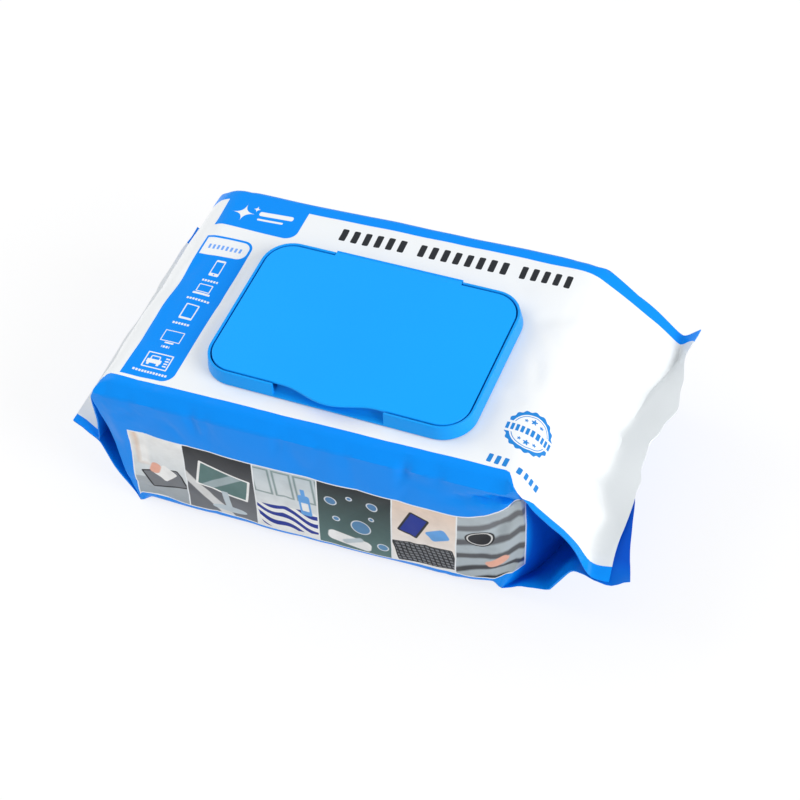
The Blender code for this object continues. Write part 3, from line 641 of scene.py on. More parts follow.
def film_mesh(sizes):
    """The film and its wipes as one closed loft, with the flat film's coordinates as its UV map."""
    form = FilmForm(sizes)
    left_fin, body, right_fin, along = form.rows()
    bm = bmesh.new()
    film = bm.loops.layers.uv.new("film")
    # Each corner's share of the painted shade deep in the gussets
    fold_shade = bm.loops.layers.float.new("fold_shade")
    rows, places = [], []
    for row in left_fin + body + right_fin:
        places.append([drawn_up(point, place) for point, place in zip(row, form.girth(row))])
        rows.append([bm.verts.new(point + crumple(point, sizes)) for point in row])
    count = len(rows[0])
    panel = len(form.columns)
    side = (count - 2 * panel) // 2
    back = range(panel, panel + side - 1)
    front = range(2 * panel + side, count - 1)
    wall = range(2 * panel + side + GUSSET_COLUMNS, count - 1 - GUSSET_COLUMNS)

    def fold_shade_share(r, c):
        """How far inside a gusset a corner lies, from 0 on the block to 1 at the seal line, as its share of
        painted shade.
        """
        first = panel if c < 2 * panel + side else 2 * panel + side
        if c < panel or panel + side <= c < 2 * panel + side:
            return 0.0
        into = min(c - first, first + side - 1 - c) / GUSSET_COLUMNS
        past = max(len(left_fin) + TAPER_ROWS - r, r - len(left_fin) - TAPER_ROWS - BODY_ROWS)
        edge = lerp(0.6, 1, smooth(into * 4))
        return edge * smooth(past / TAPER_ROWS * 7) * max(smooth(into * 1.5), smooth(past / TAPER_ROWS * 2 - 1))

    def face(corners, printed=None):
        """A face of (row, column) corners with its place on the flat film, or that of other corners."""
        made = bm.faces.new([rows[r][c] for r, c in corners])
        for loop, (r, c) in zip(made.loops, printed or corners):
            loop[film].uv = (along[r][c], places[r][c])
            loop[fold_shade] = fold_shade_share(r, c)
        columns = [c for _, c in corners]
        if min(columns) >= 2 * panel + side:
            made.material_index = 1
        elif panel <= min(columns) and max(columns) < panel + side:
            made.material_index = 2
        return made

    def skin(first, second, skipped):
        """Faces between two rows, all split the same way so that thin layers don't cross."""
        for k in range(count):
            if k not in skipped:
                after = (k + 1) % count
                ring = [(first, k), (first, after), (second, after), (second, k)]
                reach = [rows[r][c].co.x + rows[r][c].co.y * 0.37 for r, c in ring]
                start = reach.index(max(reach))
                ring = ring[start:] + ring[:start]
                for corners in (ring[:3], (ring[0], ring[2], ring[3])):
                    if all((rows[r][c].co - rows[q][d].co).length > MERGE
                           for (r, c), (q, d) in zip(corners, (*corners[1:], corners[0]))):
                        face(corners)

    closed = set(back) | set(front)
    loose_front = set(back) | set(wall)
    first_seal, last_seal = len(left_fin), len(left_fin) + len(body) - 1
    for k in range(len(rows) - 1):
        if k < first_seal:
            skin(k, k + 1, closed)
        elif k < last_seal:
            skin(k, k + 1, set())
        else:
            skin(k, k + 1, loose_front)

    def cap(r, loose):
        def base(k):
            return 2 * panel + side - 1 - k

        def inner(k):
            return count - 1 - k

        lowest = 2 * panel + side
        for k in range(panel - 1):
            if loose and k < GUSSET_COLUMNS:
                face(((r, k), (r, k + 1), (r, inner(k + 1)), (r, inner(k))))
                face(((r, lowest + k), (r, lowest + k + 1), (r, base(k + 1)), (r, base(k))))
            else:
                upper = ((r, k), (r, k + 1))
                face((*upper, (r, base(k + 1)), (r, base(k))), (*upper, *upper[::-1]))
        corner = GUSSET_COLUMNS if loose else 0
        face(((r, corner), (r, base(corner)), (r, inner(corner))))
        face(((r, panel - 1), (r, base(panel - 1)), (r, panel)))

    cap(0, False)
    cap(len(rows) - 1, True)
    bmesh.ops.remove_doubles(bm, verts=bm.verts, dist=MERGE)
    bmesh.ops.dissolve_degenerate(bm, dist=MERGE, edges=bm.edges)
    bmesh.ops.recalc_face_normals(bm, faces=bm.faces)
    return bm


def mesh_from(bm, name):
    """The mesh of a bmesh, which is freed."""
    mesh = bpy.data.meshes.new(name)
    bm.to_mesh(mesh)
    bm.free()
    return mesh


def linked(name, data):
    """A new object in the scene."""
    made = bpy.data.objects.new(name, data)
    bpy.context.scene.collection.objects.link(made)
    return made


def finished(mesh, name, materials, body, node=None, sharp=pi / 5):
    """A finished piece: smooth shaded, with its materials, riding on its body."""
    piece = linked(name, mesh)
    # Clearing resets the faces' material numbers, so an empty list is left alone
    if mesh.materials:
        mesh.materials.clear()
    for material in materials:
        mesh.materials.append(material)
    mesh.shade_smooth()
    mesh.set_sharp_from_angle(angle=sharp)
    if body:
        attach(piece, body)
    if node:
        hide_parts(node)
    return piece


# ---- Shader maths

class Value:
    """A socket in a shader tree. Arithmetic on it adds Math nodes."""

    def __init__(self, sheet, socket):
        self.sheet = sheet
        self.socket = socket

    def maths(self, operation, *others, **settings):
        inputs = dict(enumerate((self, *others)))
        return self.sheet.node("ShaderNodeMath", {"operation": operation, **settings}, inputs)

    def __add__(self, other):
        return self.maths("ADD", other)

    def __sub__(self, other):
        return self.maths("SUBTRACT", other)

    def __mul__(self, other):
        return self.maths("MULTIPLY", other)

    def __truediv__(self, other):
        return self.maths("DIVIDE", other)

    def __radd__(self, other):
        return self.maths("ADD", other)

    def __rsub__(self, other):
        return self.sheet.node("ShaderNodeMath", {"operation": "SUBTRACT"}, {0: other, 1: self})

    def __neg__(self):
        return self * -1

    def __abs__(self):
        return self.maths("ABSOLUTE")

    def root(self):
        return self.maths("SQRT")

    def repeat(self, step):
        """The place inside cells of this size, 0 in each cell's middle."""
        return self.maths("PINGPONG", step / 2)

    def over(self, other):
        return self.maths("MAXIMUM", other)

    def under(self, other):
        return self.maths("MINIMUM", other)

    def ink(self, soft=0.08):
        """1 where a signed distance is negative, with an edge that is soft millimetres wide."""
        return self.maths("MULTIPLY_ADD", -1 / soft, 0.5, use_clamp=True)


class Sheet:
    """A material's tree, with one method that adds any node."""

    def __init__(self, name):
        self.material = bpy.data.materials.new(name)
        self.material.use_nodes = True
        self.tree = self.material.node_tree
        self.shader = self.tree.nodes["Principled BSDF"]

    def feed(self, socket, value):
        """Links a Value to a socket, or sets the socket's own value."""
        if isinstance(value, Value):
            self.tree.links.new(value.socket, socket)
        else:
            socket.default_value = value

    def node(self, kind, settings=None, inputs=None, output=0):
        node = self.tree.nodes.new(kind)
        for name, value in (settings or {}).items():
            setattr(node, name, value)
        for key, value in (inputs or {}).items():
            self.feed(node.inputs[key], value)
        return Value(self, node.outputs[output])

    def mix(self, first, second, factor):
        """Colours as linear triples or sockets, mixed by a number."""
        colours = [c if isinstance(c, Value) else (*c, 1) for c in (first, second)]
        inputs = {0: factor, 6: colours[0], 7: colours[1]}
        return self.node("ShaderNodeMix", {"data_type": "RGBA"}, inputs, output=2)

    def plane(self, uv_map):
        """A UV map's two coordinates in millimetres."""
        flat = self.node("ShaderNodeUVMap", {"uv_map": uv_map})
        x = self.node("ShaderNodeSeparateXYZ", None, {0: flat}, output=0)
        split = x.socket.node
        return Plane(x / MM, Value(self, split.outputs[1]) / MM)

    def noise(self, vector, scale, detail=2.0, roughness=0.5):
        inputs = {"Scale": scale, "Detail": detail, "Roughness": roughness, "Vector": vector}
        return self.node("ShaderNodeTexNoise", {"noise_dimensions": "3D"}, inputs)

    def place(self):
        return self.node("ShaderNodeTexCoord", output=3)

    def set(self, **values):
        """Sets the main shader's sockets, with _ for a space in their names."""
        for name, value in values.items():
            self.feed(self.shader.inputs[name.replace("_", " ")], value)

    def bump(self, height, distance, strength=1.0):
        inputs = {"Height": height, "Distance": distance, "Strength": strength}
        self.set(Normal=self.node("ShaderNodeBump", None, inputs))


class Plane:
    """A flat drawing on two coordinates, in millimetres. Its shapes are signed distances."""

    def __init__(self, x, y):
        self.x = x
        self.y = y

    def moved(self, x, y, turn=0.0):
        """The same drawing with its origin at x, y and turned anticlockwise."""
        across_x, across_y = self.x - x, self.y - y
        if not turn:
            return Plane(across_x, across_y)
        c, s = cos(turn), sin(turn)
        return Plane(across_x * c + across_y * s, across_y * c - across_x * s)

    def box(self, x, y, half_x, half_y, corner=0.0):
        out_x = abs(self.x - x) - (half_x - corner)
        out_y = abs(self.y - y) - (half_y - corner)
        if not corner:
            return out_x.over(out_y)
        far_x, far_y = out_x.over(0), out_y.over(0)
        return (far_x * far_x + far_y * far_y).root() + out_x.over(out_y).under(0) - corner

    def tag(self, left, right, low, high, corner):
        """A box whose two right corners are rounded."""
        x, y = (left + right) / 2, (low + high) / 2
        half_x, half_y = (right - left) / 2, (high - low) / 2
        square = self.box(left + half_x / 2, y, half_x / 2, half_y)
        return self.box(x, y, half_x, half_y, corner).under(square)

    def disc(self, x, y, radius, squash=1.0):
        dx, dy = self.x - x, (self.y - y) / squash
        return (dx * dx + dy * dy).root() - radius

    def gleam(self, x, y, size):
        """A four-pointed star with hollow sides."""
        return abs(self.x - x).root() + abs(self.y - y).root() - size

    def slab(self, slope, low, high):
        """Between two parallel slanted lines that cross the x axis at low and high."""
        across_line = self.x - self.y * slope
        return abs(across_line - (low + high) / 2) - (high - low) / 2


def outline(distance, width):
    """The line of that width just inside a shape's edge."""
    return abs(distance + width / 2) - width / 2


def joined(shapes):
    """Several shapes as one."""
    return reduce(Value.under, shapes)


def bars(x, y, step, half_x, half_y, corner):
    """A row of upright bars, one to each step along x."""
    return Plane(x.repeat(step) - step / 2, y).box(0, 0, half_x, half_y, corner)


# ---- Print

PHONE = (-77.2, 10.0)
LAPTOP = (-77.4, -1.6)
TABLET = (-77.6, -14.5)
SCREEN = (-77.9, -28.1)
CAR_SCREEN = (-78.0, -41.0)
# Bars under the icons: place along and across, and half length
CAPTIONS = (
    (-77.0, 2.9, 3.4), (-77.2, -7.6, 5.0), (-77.9, -21.1, 3.9), (-78.3, -33.7, 1.7), (-78.4, -47.0, 7.4))
# Words of bars: start, end and number of bars
TITLE_WORDS = ((-38.6, -8.6, 6), (-5.0, 34.2, 8), (37.4, 60.0, 5))
PANEL_SLANT = 0.05
TITLE_Y = 43.0
TITLE_TILT = 0.023
# Where the painted shade on the right fin's film starts, and how far the seam below lies from the top's middle
# line
FIN_SHADE_START = 107.8
SEAM_EDGE = 173.0


def title_marks(plane):
    """Three groups of upright bars in the title's place, one bar for each letter."""
    tilted = plane.moved(0, TITLE_Y, TITLE_TILT)
    words = []
    for start, end, count in TITLE_WORDS:
        step = (end - start) / count
        inside = tilted.box((start + end) / 2, 0, (end - start) / 2, 5)
        words.append(bars(tilted.x - start, tilted.y, step, step * 0.27, 3.2, 0.6).over(inside))
    return joined(words)


def panel_icons(plane):
    """White line drawings of five kinds of screen, with a short bar under each."""
    phone, laptop, tablet = plane.moved(*PHONE), plane.moved(*LAPTOP), plane.moved(*TABLET)
    screen, dashboard = plane.moved(*SCREEN), plane.moved(*CAR_SCREEN)
    vent = Plane(dashboard.x, dashboard.y.repeat(1.25) - 0.625)
    parts = [
        outline(phone.box(0, 0, 2.1, 4.3, 0.6), 0.42),
        phone.box(0, -3.5, 2.0, 0.75, 0.2).over(-phone.disc(0, -3.5, 0.35)),
        phone.box(0, 3.8, 2.0, 0.45, 0.2),
        outline(laptop.box(0, 0.3, 3.0, 2.1, 0.3), 0.4),
        laptop.box(0, -2.7, 3.7, 0.5, 0.4),
        outline(tablet.box(0, 0, 2.8, 4.0, 0.4), 0.5),
        tablet.box(0, -3.5, 2.7, 0.5, 0.2),
        outline(screen.box(0, 0, 4.2, 2.8, 0.2), 0.35),
        screen.box(0.2, -3.5, 1.9, 0.35, 0.2),
        outline(dashboard.box(0, 0, 5.5, 3.8, 0.3), 0.5),
        dashboard.box(-1.3, -0.5, 3.1, 1.0, 0.5),
        outline(dashboard.box(-1.3, 1.0, 2.1, 1.25, 0.7), 0.45),
        joined(dashboard.box(x, -1.8, 0.55, 0.6, 0.2) for x in (-3.4, 0.8)),
        vent.box(3.75, 0, 0.8, 0.3, 0.1).over(abs(dashboard.y) - 2.6),
    ]
    for x, y, half in CAPTIONS:
        dashes = bars(plane.x - x, plane.y - y, 1.25, 0.44, 0.5, 0.1)
        parts.append(dashes.over(abs(plane.x - x) - half))
    return parts


def star(plane, x, y, radius):
    """A five-pointed star as the overlap of wedges, which reads as one at this size."""
    local = plane.moved(x, y)
    angle = local.x.maths("ARCTAN2", local.y)
    wedge = (angle / (2 * pi) * 5).maths("FRACT") - 0.5
    reach = (local.x * local.x + local.y * local.y).root()
    return reach - (0.42 + abs(wedge) * 1.16) * radius


def seal_badge(plane):
    """Scalloped ring with stars and a broad bar across it."""
    centre = plane.moved(68.6, -28.6, 0.02)
    reach = (centre.x * centre.x + centre.y * centre.y).root()
    angle = centre.y.maths("ARCTAN2", centre.x)
    scallop = (angle * 18).maths("SINE") * 0.32
    ring = (reach + scallop - 9.2).over(7.6 - reach)
    fine = abs(reach - 6.9) - 0.16
    gap = abs(centre.y) - 2.5
    marks = ring.under(fine).over(-gap)
    for side in (-1, 1):
        marks = marks.under(star(centre, 0, side * 4.9, 1.3))
        for x in (-2.8, 2.8):
            marks = marks.under(star(centre, x, side * 4.3, 0.8))
    return marks.under(bars(centre.x, centre.y, 1.9, 0.62, 1.5, 0.2).over(abs(centre.x) - 9.5))


def count_marks(plane):
    """Two short rows of bars in the place of the count."""
    line = plane.moved(57.6, -44.6, -0.06)
    short = bars(line.x, line.y, 3.1, 0.9, 1.9, 0.4).over(abs(line.x - 4.65) - 4.65)
    long = bars(line.x - 12.0, line.y + 1.0, 2.9, 0.85, 1.5, 0.4)
    return short.under(long.over(abs(line.x - 17.8) - 5.8))


def top_print(sheet, colours):
    """White film with blue strips at its edges, a tab, an icon panel, a seal and bars, and painted shade on the
    right fin.
    """
    plane = sheet.plane("film")
    white, blue = colours.white[:], colours.blue[:]
    # Painted shade: the right fin's film is greyed, with a soft edge that starts before the bend
    colour = sheet.mix(white, colours.fin[:], (FIN_SHADE_START - plane.x).ink(9.0))
    colour = sheet.mix(colour, colours.mark[:], title_marks(plane).ink())
    badge = seal_badge(plane).under(count_marks(plane))
    colour = sheet.mix(colour, colours.seal[:], badge.ink())
    slanted = Plane(plane.x, plane.y - (plane.x + 78.7) * PANEL_SLANT)
    colour = sheet.mix(colour, blue, slanted.tag(-89.4, -68.1, -50.0, 26.6, 4.6).ink())
    colour = sheet.mix(colour, white, slanted.tag(-88.4, -69.2, 16.4, 25.5, 3.6).ink())
    heading = bars(plane.x + 86.6, slanted.y - 20.8, 1.9, 0.5, 1.15, 0.2).over(abs(plane.x + 78.5) - 7.6)
    colour = sheet.mix(colour, blue, heading.ink() * 0.8)
    for part in panel_icons(plane):
        colour = sheet.mix(colour, white, part.ink())
    tab = plane.box(-72.2, 52.0, 17.8, 19.0, 5.0).under(plane.box(-82.0, 52.0, 8.0, 19.0))
    colour = sheet.mix(colour, blue, tab.over(31.0 + (plane.x + 90) * 0.03 - plane.y).ink())
    drop = plane.moved(-80.5, 41.6, 0.06)
    gleam = drop.gleam(0, 0, 2.25).under(drop.gleam(4.8, 3.0, 1.35))
    lines = drop.box(14.0, 0.9, 7.4, 1.15, 0.9).under(drop.box(12.4, -2.4, 5.6, 0.5, 0.45))
    colour = sheet.mix(colour, white, gleam.under(lines).ink())
    along = (plane.x + 5) / 78
    on_slopes = (74 - plane.x).ink(14).over((plane.x + 91).ink(10))
    front_strip = plane.y + 58.2 + (along * along).under(1) * 1.6 - on_slopes * 6.8
    strips = front_strip.under(50.3 + plane.x * 0.027 - plane.y)
    colour = sheet.mix(colour, blue, strips.ink())
    seam = abs(plane.y) - SEAM_EDGE
    crimps = (plane.x.repeat(2.4) - 0.6).over(2.5 - seam)
    colour = sheet.mix(colour, colours.tuck[:], (abs(seam) - 0.25).under(crimps).ink(0.3) * 0.45)
    return colour, plane


ART = {
    "pale": screen_colour(246, 246, 244),
    "mist": screen_colour(196, 208, 214),
    "grey": screen_colour(122, 125, 130),
    "dark": screen_colour(40, 42, 46),
    "sand": screen_colour(226, 184, 148),
    "rose": screen_colour(238, 178, 156),
    "green": screen_colour(92, 124, 122),
    "navy": screen_colour(30, 52, 150),
    "sky": screen_colour(104, 168, 232),
}
# The back's blocks of bars: step between rows, and each block's left and right edge
BACK_STEP = 4.3
BACK_BLOCKS = ((-62.0, -10.0), (2.0, 56.0))
# Bubbles in the fourth tile: place and radius
ART_BUBBLES = (
    (-3, -90, 2.6),
    (8, -103, 4.2),
    (14, -88, 2.4),
    (16, -113, 2.4),
    (-2, -101, 1.6),
    (5, -86, 1.3),
    (13, -96, 1.2),
)
# The printed picture's dividers, which lean: place along the pack at its middle height
ART_LEFT, ART_RIGHT = -89.6, 75.2
ART_DIVIDERS = (-66.0, -36.0, -9.5, 21.0, 47.0)
ART_TOP, ART_BOTTOM = -78.6, -120.2
ART_TILT = 0.016
ART_LINE = 0.6
ART_LEAN = -0.10


def art_tiles(sheet, plane):
    """Six plain scenes of screens, folded cloths, drops and keys."""
    depth = (plane.y - ART_BOTTOM) / (ART_TOP - ART_BOTTOM)

    def painted(low, high, *marks, rise=depth):
        """A tile with two colours, foot and head, under marks of colour, shape, softness and share."""
        tile = sheet.mix(ART[low], ART[high], rise)
        for name, shape, *look in marks:
            soft, strength = look + [0.2, 1.0][len(look):]
            tile = sheet.mix(tile, ART[name], shape.ink(soft) * strength)
        return tile

    pad = plane.moved(-76.5, -106.0, 0.3)
    monitor = plane.moved(-49.5, -97.0, -0.24)
    frames = outline(Plane(plane.x.repeat(18.0) - 4.5, plane.y + 88).box(0, 0, 4.0, 8.0, 0.3), 0.9)
    cloth = plane.moved(-23.0, -110.0, 0.12).box(0, 0, 13.5, 7.5, 3.5)
    folds = plane.y + plane.x * 0.35 + (plane.x * 0.35).maths("SINE") * 1.6
    bottle = plane.box(-14.6, -98, 2.4, 6.4, 1.2).under(plane.box(-14.6, -90.4, 0.9, 2.6, 0.3))
    bubbles = [plane.disc(*bubble) for bubble in ART_BUBBLES]
    board = plane.moved(33.5, -111.0, 0.1).box(0, 0, 12.5, 7.0, 0.8)
    keys = Plane((plane.x + plane.y * 0.2).repeat(4.2) - 1.05, plane.y.repeat(3.8) - 0.95)
    phone = plane.moved(30.5, -92, -0.45).box(0, 0, 4.2, 7.6, 0.9)
    return [
        painted(
            "mist", "pale",
            ("sand", plane.box(-84.5, -84, 1.6, 14), 3.5, 0.8),
            ("pale", plane.slab(0.1, -76.0, -72.0).over(plane.y * -1 - 98), 2.0),
            ("grey", plane.y + 112 + plane.x * 0.05, 0.8, 0.5),
            ("dark", pad.box(0, 0, 9.0, 5.6, 0.8)),
            ("grey", pad.box(0, 0, 8.2, 4.8, 0.4)),
            ("pale", pad.moved(1.5, 3.2, 0.5).box(0, 0, 4.6, 3.6, 1.2)),
            ("rose", pad.moved(-1.5, 6.4, 0.9).box(0, 0, 3.6, 2.1, 2.0), 0.5)),
        painted(
            "grey", "dark",
            ("pale", plane.slab(-0.7, -138.0, -132.0), 0.8, 0.75),
            ("pale", monitor.box(0, 0, 11.0, 8.0, 0.6)),
            ("green", monitor.box(0, 0, 10.0, 7.0, 0.3)),
            ("mist", monitor.slab(0.8, -3.0, 2.0).over(monitor.box(0, 0, 10.0, 7.0)), 0.6, 0.6),
            ("mist", plane.box(-50, -110, 1.4, 6.5, 0.5), 0.3),
            ("mist", plane.disc(-50, -116, 7.5, 0.26), 0.3)),
        painted(
            "pale", "mist",
            ("green", frames, 0.5, 0.7),
            ("pale", cloth, 0.4),
            ("navy", (folds.repeat(5.4) - 1.35).over(cloth), 0.3),
            ("sky", bottle, 0.3),
            ("pale", plane.box(-14.6, -99, 1.5, 2.6, 0.4), 0.3)),
        painted(
            "green", "dark",
            *(mark for bubble in bubbles for mark in (
                ("sky", bubble, 0.3, 0.5), ("pale", outline(bubble, 0.45), 0.3, 0.8))),
            ("pale", plane.moved(2.0, -114, -0.2).box(0, 0, 9, 3.4, 2.4), 0.5),
            ("mist", plane.moved(3.5, -113.4, 0.5).box(0, 0, 5, 1.3, 1.2), 0.8)),
        painted(
            "pale", "sand",
            ("dark", board),
            ("grey", keys.box(0, 0, 0.7, 0.6, 0.2).over(board + 0.6)),
            ("dark", phone),
            ("navy", phone + 0.9),
            ("sky", plane.moved(40, -95, 0.5).box(0, 0, 4.4, 3.0, 1.4), 0.4),
            rise=depth * 0.6),
        painted(
            "dark", "grey",
            ("mist", plane.disc(60, -130, 26, 0.9).repeat(9.5) - 2.9, 1.4, 0.75),
            ("dark", plane.disc(57, -92, 6.0, 0.7), 0.4),
            ("pale", outline(plane.disc(57, -92, 5.2, 0.7), 0.6), 0.3, 0.8),
            ("rose", plane.moved(63, -107, 0.5).box(0, 0, 5, 2.4, 2.0), 0.6)),
    ]


def side_print(sheet, colours):
    """Blue film with a framed picture of six plain tiles."""
    plane = sheet.plane("film")
    plane = Plane(plane.x, plane.y + plane.x * -ART_TILT)
    leaning = plane.x + (plane.y + 99) * ART_LEAN
    tiles = art_tiles(sheet, plane)
    picture = tiles[0]
    for place, tile in zip(ART_DIVIDERS, tiles[1:]):
        picture = sheet.mix(picture, tile, (place - leaning).ink())
    lines = joined(abs(leaning - place) - ART_LINE / 2 for place in ART_DIVIDERS)
    picture = sheet.mix(picture, colours.white[:], lines.ink())
    uneven = sheet.noise(sheet.place(), 150, 3, 0.6)
    picture = sheet.mix(picture, ART["dark"], (0.6 - uneven) * 0.35)
    middle, half = (ART_TOP + ART_BOTTOM) / 2, (ART_TOP - ART_BOTTOM) / 2
    box_x = abs(leaning - (ART_LEFT + ART_RIGHT) / 2) - (ART_RIGHT - ART_LEFT) / 2
    inside = box_x.over(abs(plane.y - middle) - half)
    colour = sheet.mix(colours.blue[:], colours.white[:], inside.ink())
    return sheet.mix(colour, picture, (inside + ART_LINE).ink()), plane


def back_print(sheet, colours):
    """Blue film with a white field that holds two blocks of plain bars and three simple marks."""
    plane = sheet.plane("film")
    colour = sheet.mix(colours.blue[:], colours.white[:], plane.box(-12.0, 97.0, 74.0, 19.5, 4.0).ink())
    row = ((plane.y - 83.0) / BACK_STEP).maths("FLOOR")
    ragged = (row * 2.3).maths("SINE") * 5
    line = Plane(plane.x, (plane.y - 83.0).repeat(BACK_STEP) - BACK_STEP / 2)
    blocks = []
    for left, right in BACK_BLOCKS:
        block = line.box((left + right) / 2, 0, (right - left) / 2, 0.55, 0.3)
        blocks.append(block.over(plane.x * -1 + left + 5 + ragged))
    inside = abs(plane.y - 95.5) - 13.0
    colour = sheet.mix(colour, colours.mark[:], joined(blocks).over(inside).ink() * 0.8)
    heads = plane.box(-19.0, 111.6, 9.0, 1.3, 0.8).under(plane.box(47.0, 111.6, 9.0, 1.3, 0.8))
    marks = outline(plane.disc(-72.0, 104.0, 5.4), 0.7)
    marks = marks.under(outline(plane.box(-72.0, 90.0, 5.0, 5.0, 1.2), 0.7))
    marks = marks.under(plane.gleam(-72, 104, 1.9))
    return sheet.mix(colour, colours.seal[:], marks.under(heads).ink()), plane


def film_material(name, colours, printed):
    """Satin printed film: fine crinkle, slight gloss change, the print's colours and painted shade deep in the
    gussets.
    """
    sheet = Sheet(name)
    colour, plane = printed(sheet, colours)
    # Painted shade: film deep in the gussets is mixed towards a darker blue for the shade inside the folds
    fold_shade = sheet.node("ShaderNodeAttribute", {"attribute_name": "fold_shade"}, output=2)
    colour = sheet.mix(colour, colours.tuck[:], fold_shade * 0.85)
    place = sheet.place()
    broad = sheet.noise(place, 60, 3)
    fine = sheet.noise(place, 420, 3, 0.6)
    ridge = abs(broad - 0.5) * -2 + 1
    sheet.set(Base_Color=colour, Roughness=0.30 + fine * 0.12, Metallic=0.0)
    sheet.set(Specular_IOR_Level=0.12)
    sheet.bump(broad * 0.7 + ridge * 0.25 + fine * 0.08, 0.5 * MM, 0.35)
    return sheet.material


def plastic_material(name, colour, grain=0.02, roughness=0.38):
    """Moulded plastic with a fine satin grain and faint flow marks."""
    sheet = Sheet(name)
    place = sheet.place()
    flow = sheet.noise(place, 18, 2)
    pores = sheet.noise(place, 2600, 2, 0.6)
    shaded = sheet.mix([c * 0.95 for c in colour], [min(1, c * 1.04) for c in colour], flow)
    sheet.set(Base_Color=shaded, Roughness=roughness - 0.04 + pores * 0.09, Metallic=0.0)
    sheet.set(Specular_IOR_Level=0.15)
    sheet.bump(pores * 0.6 + flow * 0.4, grain * MM, 0.5)
    return sheet.material


# ---- Lid, frame and label

Levels = namedtuple("Levels", "foot floor under rim")

ARC = 8
FOOT_CHAMFER = 0.2 * MM
FLOOR_FILLET = 0.5 * MM
SCOOP_SHELF = 2.1 * MM
SCOOP_RADIUS = 4.1 * MM
SCOOP_INSET = 0.4 * MM
SCOOP_STEP = 0.01 * MM
# How far the cutting tools reach past what they cut
BEYOND = 2 * MM
# The ridge under the hinge web: how far it stands before and behind the axis, and how far below it ends
RIDGE_FRONT, RIDGE_BACK, RIDGE_GAP = 0.42 * MM, 0.35 * MM, 0.3 * MM
SEAT_GAP = 0.3 * MM


def rounded_outline(size_x, size_y, radius, lip=0.0, lip_length=0.0, steps=12):
    """A rounded rectangle, anticlockwise from the front left, with a lip on its front edge if asked."""
    points = []
    if lip:
        for k in range(41):
            x = lerp(-lip_length / 2, lip_length / 2, k / 40)
            points.append((x, -size_y / 2 - lip * cos(pi * x / lip_length) ** 2))
    for side_x, side_y, start in ((1, -1, -pi / 2), (1, 1, 0), (-1, 1, pi / 2), (-1, -1, pi)):
        centre = (side_x * (size_x / 2 - radius), side_y * (size_y / 2 - radius))
        for k in range(steps + 1):
            angle = start + pi / 2 * k / steps
            points.append((centre[0] + radius * cos(angle), centre[1] + radius * sin(angle)))
    return points


def quarter(steps=ARC, first=0):
    """Places along a quarter of a unit circle, from (0, 0) level to (1, 1) upright."""
    angles = [pi / 2 * k / steps for k in range(first, steps + 1)]
    return [(sin(angle), 1 - cos(angle)) for angle in angles]


def lofted(rings, turns=(-1, 1)):
    """A closed mesh through rings of points, with a cap at each end that runs round it in the given turn."""
    bm = bmesh.new()
    loops = [[bm.verts.new(point) for point in ring] for ring in rings]
    for first, second in zip(loops, loops[1:]):
        for k in range(len(first)):
            after = (k + 1) % len(first)
            bm.faces.new((first[k], first[after], second[after], second[k]))
    for loop, turn in zip((loops[0], loops[-1]), turns):
        bm.faces.new(loop[::turn])
    bmesh.ops.recalc_face_normals(bm, faces=bm.faces)
    return bm


def stacked(rings):
    """A closed mesh through a list of (outline, height)."""
    return lofted([[(x + LID_CENTRE.x, y + LID_CENTRE.y, height) for x, y in ring] for ring, height in rings])


def bar(profile, half):
    """A profile in Y and Z, relative to the lid's centre, drawn out along X to both sides."""
    rings = [[(LID_CENTRE.x + x, LID_CENTRE.y + y, z) for y, z in profile] for x in (-half, half)]
    return lofted(rings, (1, -1))


def crossed(low, high):
    """The profile of a box between two corners."""
    return [low, (high[0], low[1]), high, (low[0], high[1])]


def settled(carrier):
    """The mesh that an object's modifiers give, cleaned. The object goes."""
    bpy.context.view_layer.update()
    evaluated = carrier.evaluated_get(bpy.context.evaluated_depsgraph_get())
    mesh = cleaned(bpy.data.meshes.new_from_object(evaluated))
    bpy.data.objects.remove(carrier, do_unlink=True)
    return mesh


def carved(bm, name, steps, bevel):
    """The mesh after unions and cuts by (operation, bmesh) steps, with its hard edges rounded."""
    blank = linked(name + "_blank", mesh_from(bm, name + "_blank"))
    tools = []
    for k, (operation, tool_mesh) in enumerate(steps):
        tool = linked(f"{name}_tool_{k}", mesh_from(tool_mesh, f"{name}_tool_{k}"))
        modifier = blank.modifiers.new(f"step_{k}", "BOOLEAN")
        modifier.operation = operation
        modifier.solver = "EXACT"
        modifier.object = tool
        tools.append(tool)
    if bevel:
        modifier = blank.modifiers.new("edges", "BEVEL")
        modifier.width = bevel
        modifier.segments = 3
        modifier.limit_method = "ANGLE"
        modifier.angle_limit = pi / 5
    mesh = settled(blank)
    for tool in tools:
        bpy.data.objects.remove(tool, do_unlink=True)
    return mesh


def cleaned(mesh):
    """The mesh with its doubles merged, no slivers and its faces outwards."""
    bm = bmesh.new()
    bm.from_mesh(mesh)
    bmesh.ops.remove_doubles(bm, verts=bm.verts, dist=MERGE)
    bmesh.ops.dissolve_degenerate(bm, dist=MERGE, edges=bm.edges)
    bmesh.ops.recalc_face_normals(bm, faces=bm.faces)
    bm.to_mesh(mesh)
    bm.free()
    return mesh


def lid_levels(sizes):
    """Heights that frame and lid share: foot, floor, lid underside and rim."""
    foot, rim = FRAME_LOW.z, FRAME_HIGH.z
    return Levels(foot, foot + 0.8 * MM, rim - sizes.thickness, rim)


def rim_ring(sizes, out):
    """The outline that lies out from the lid's own edge by that much."""
    return rounded_outline(sizes.lid_length + 2 * out, sizes.lid_width + 2 * out, sizes.corner + out)


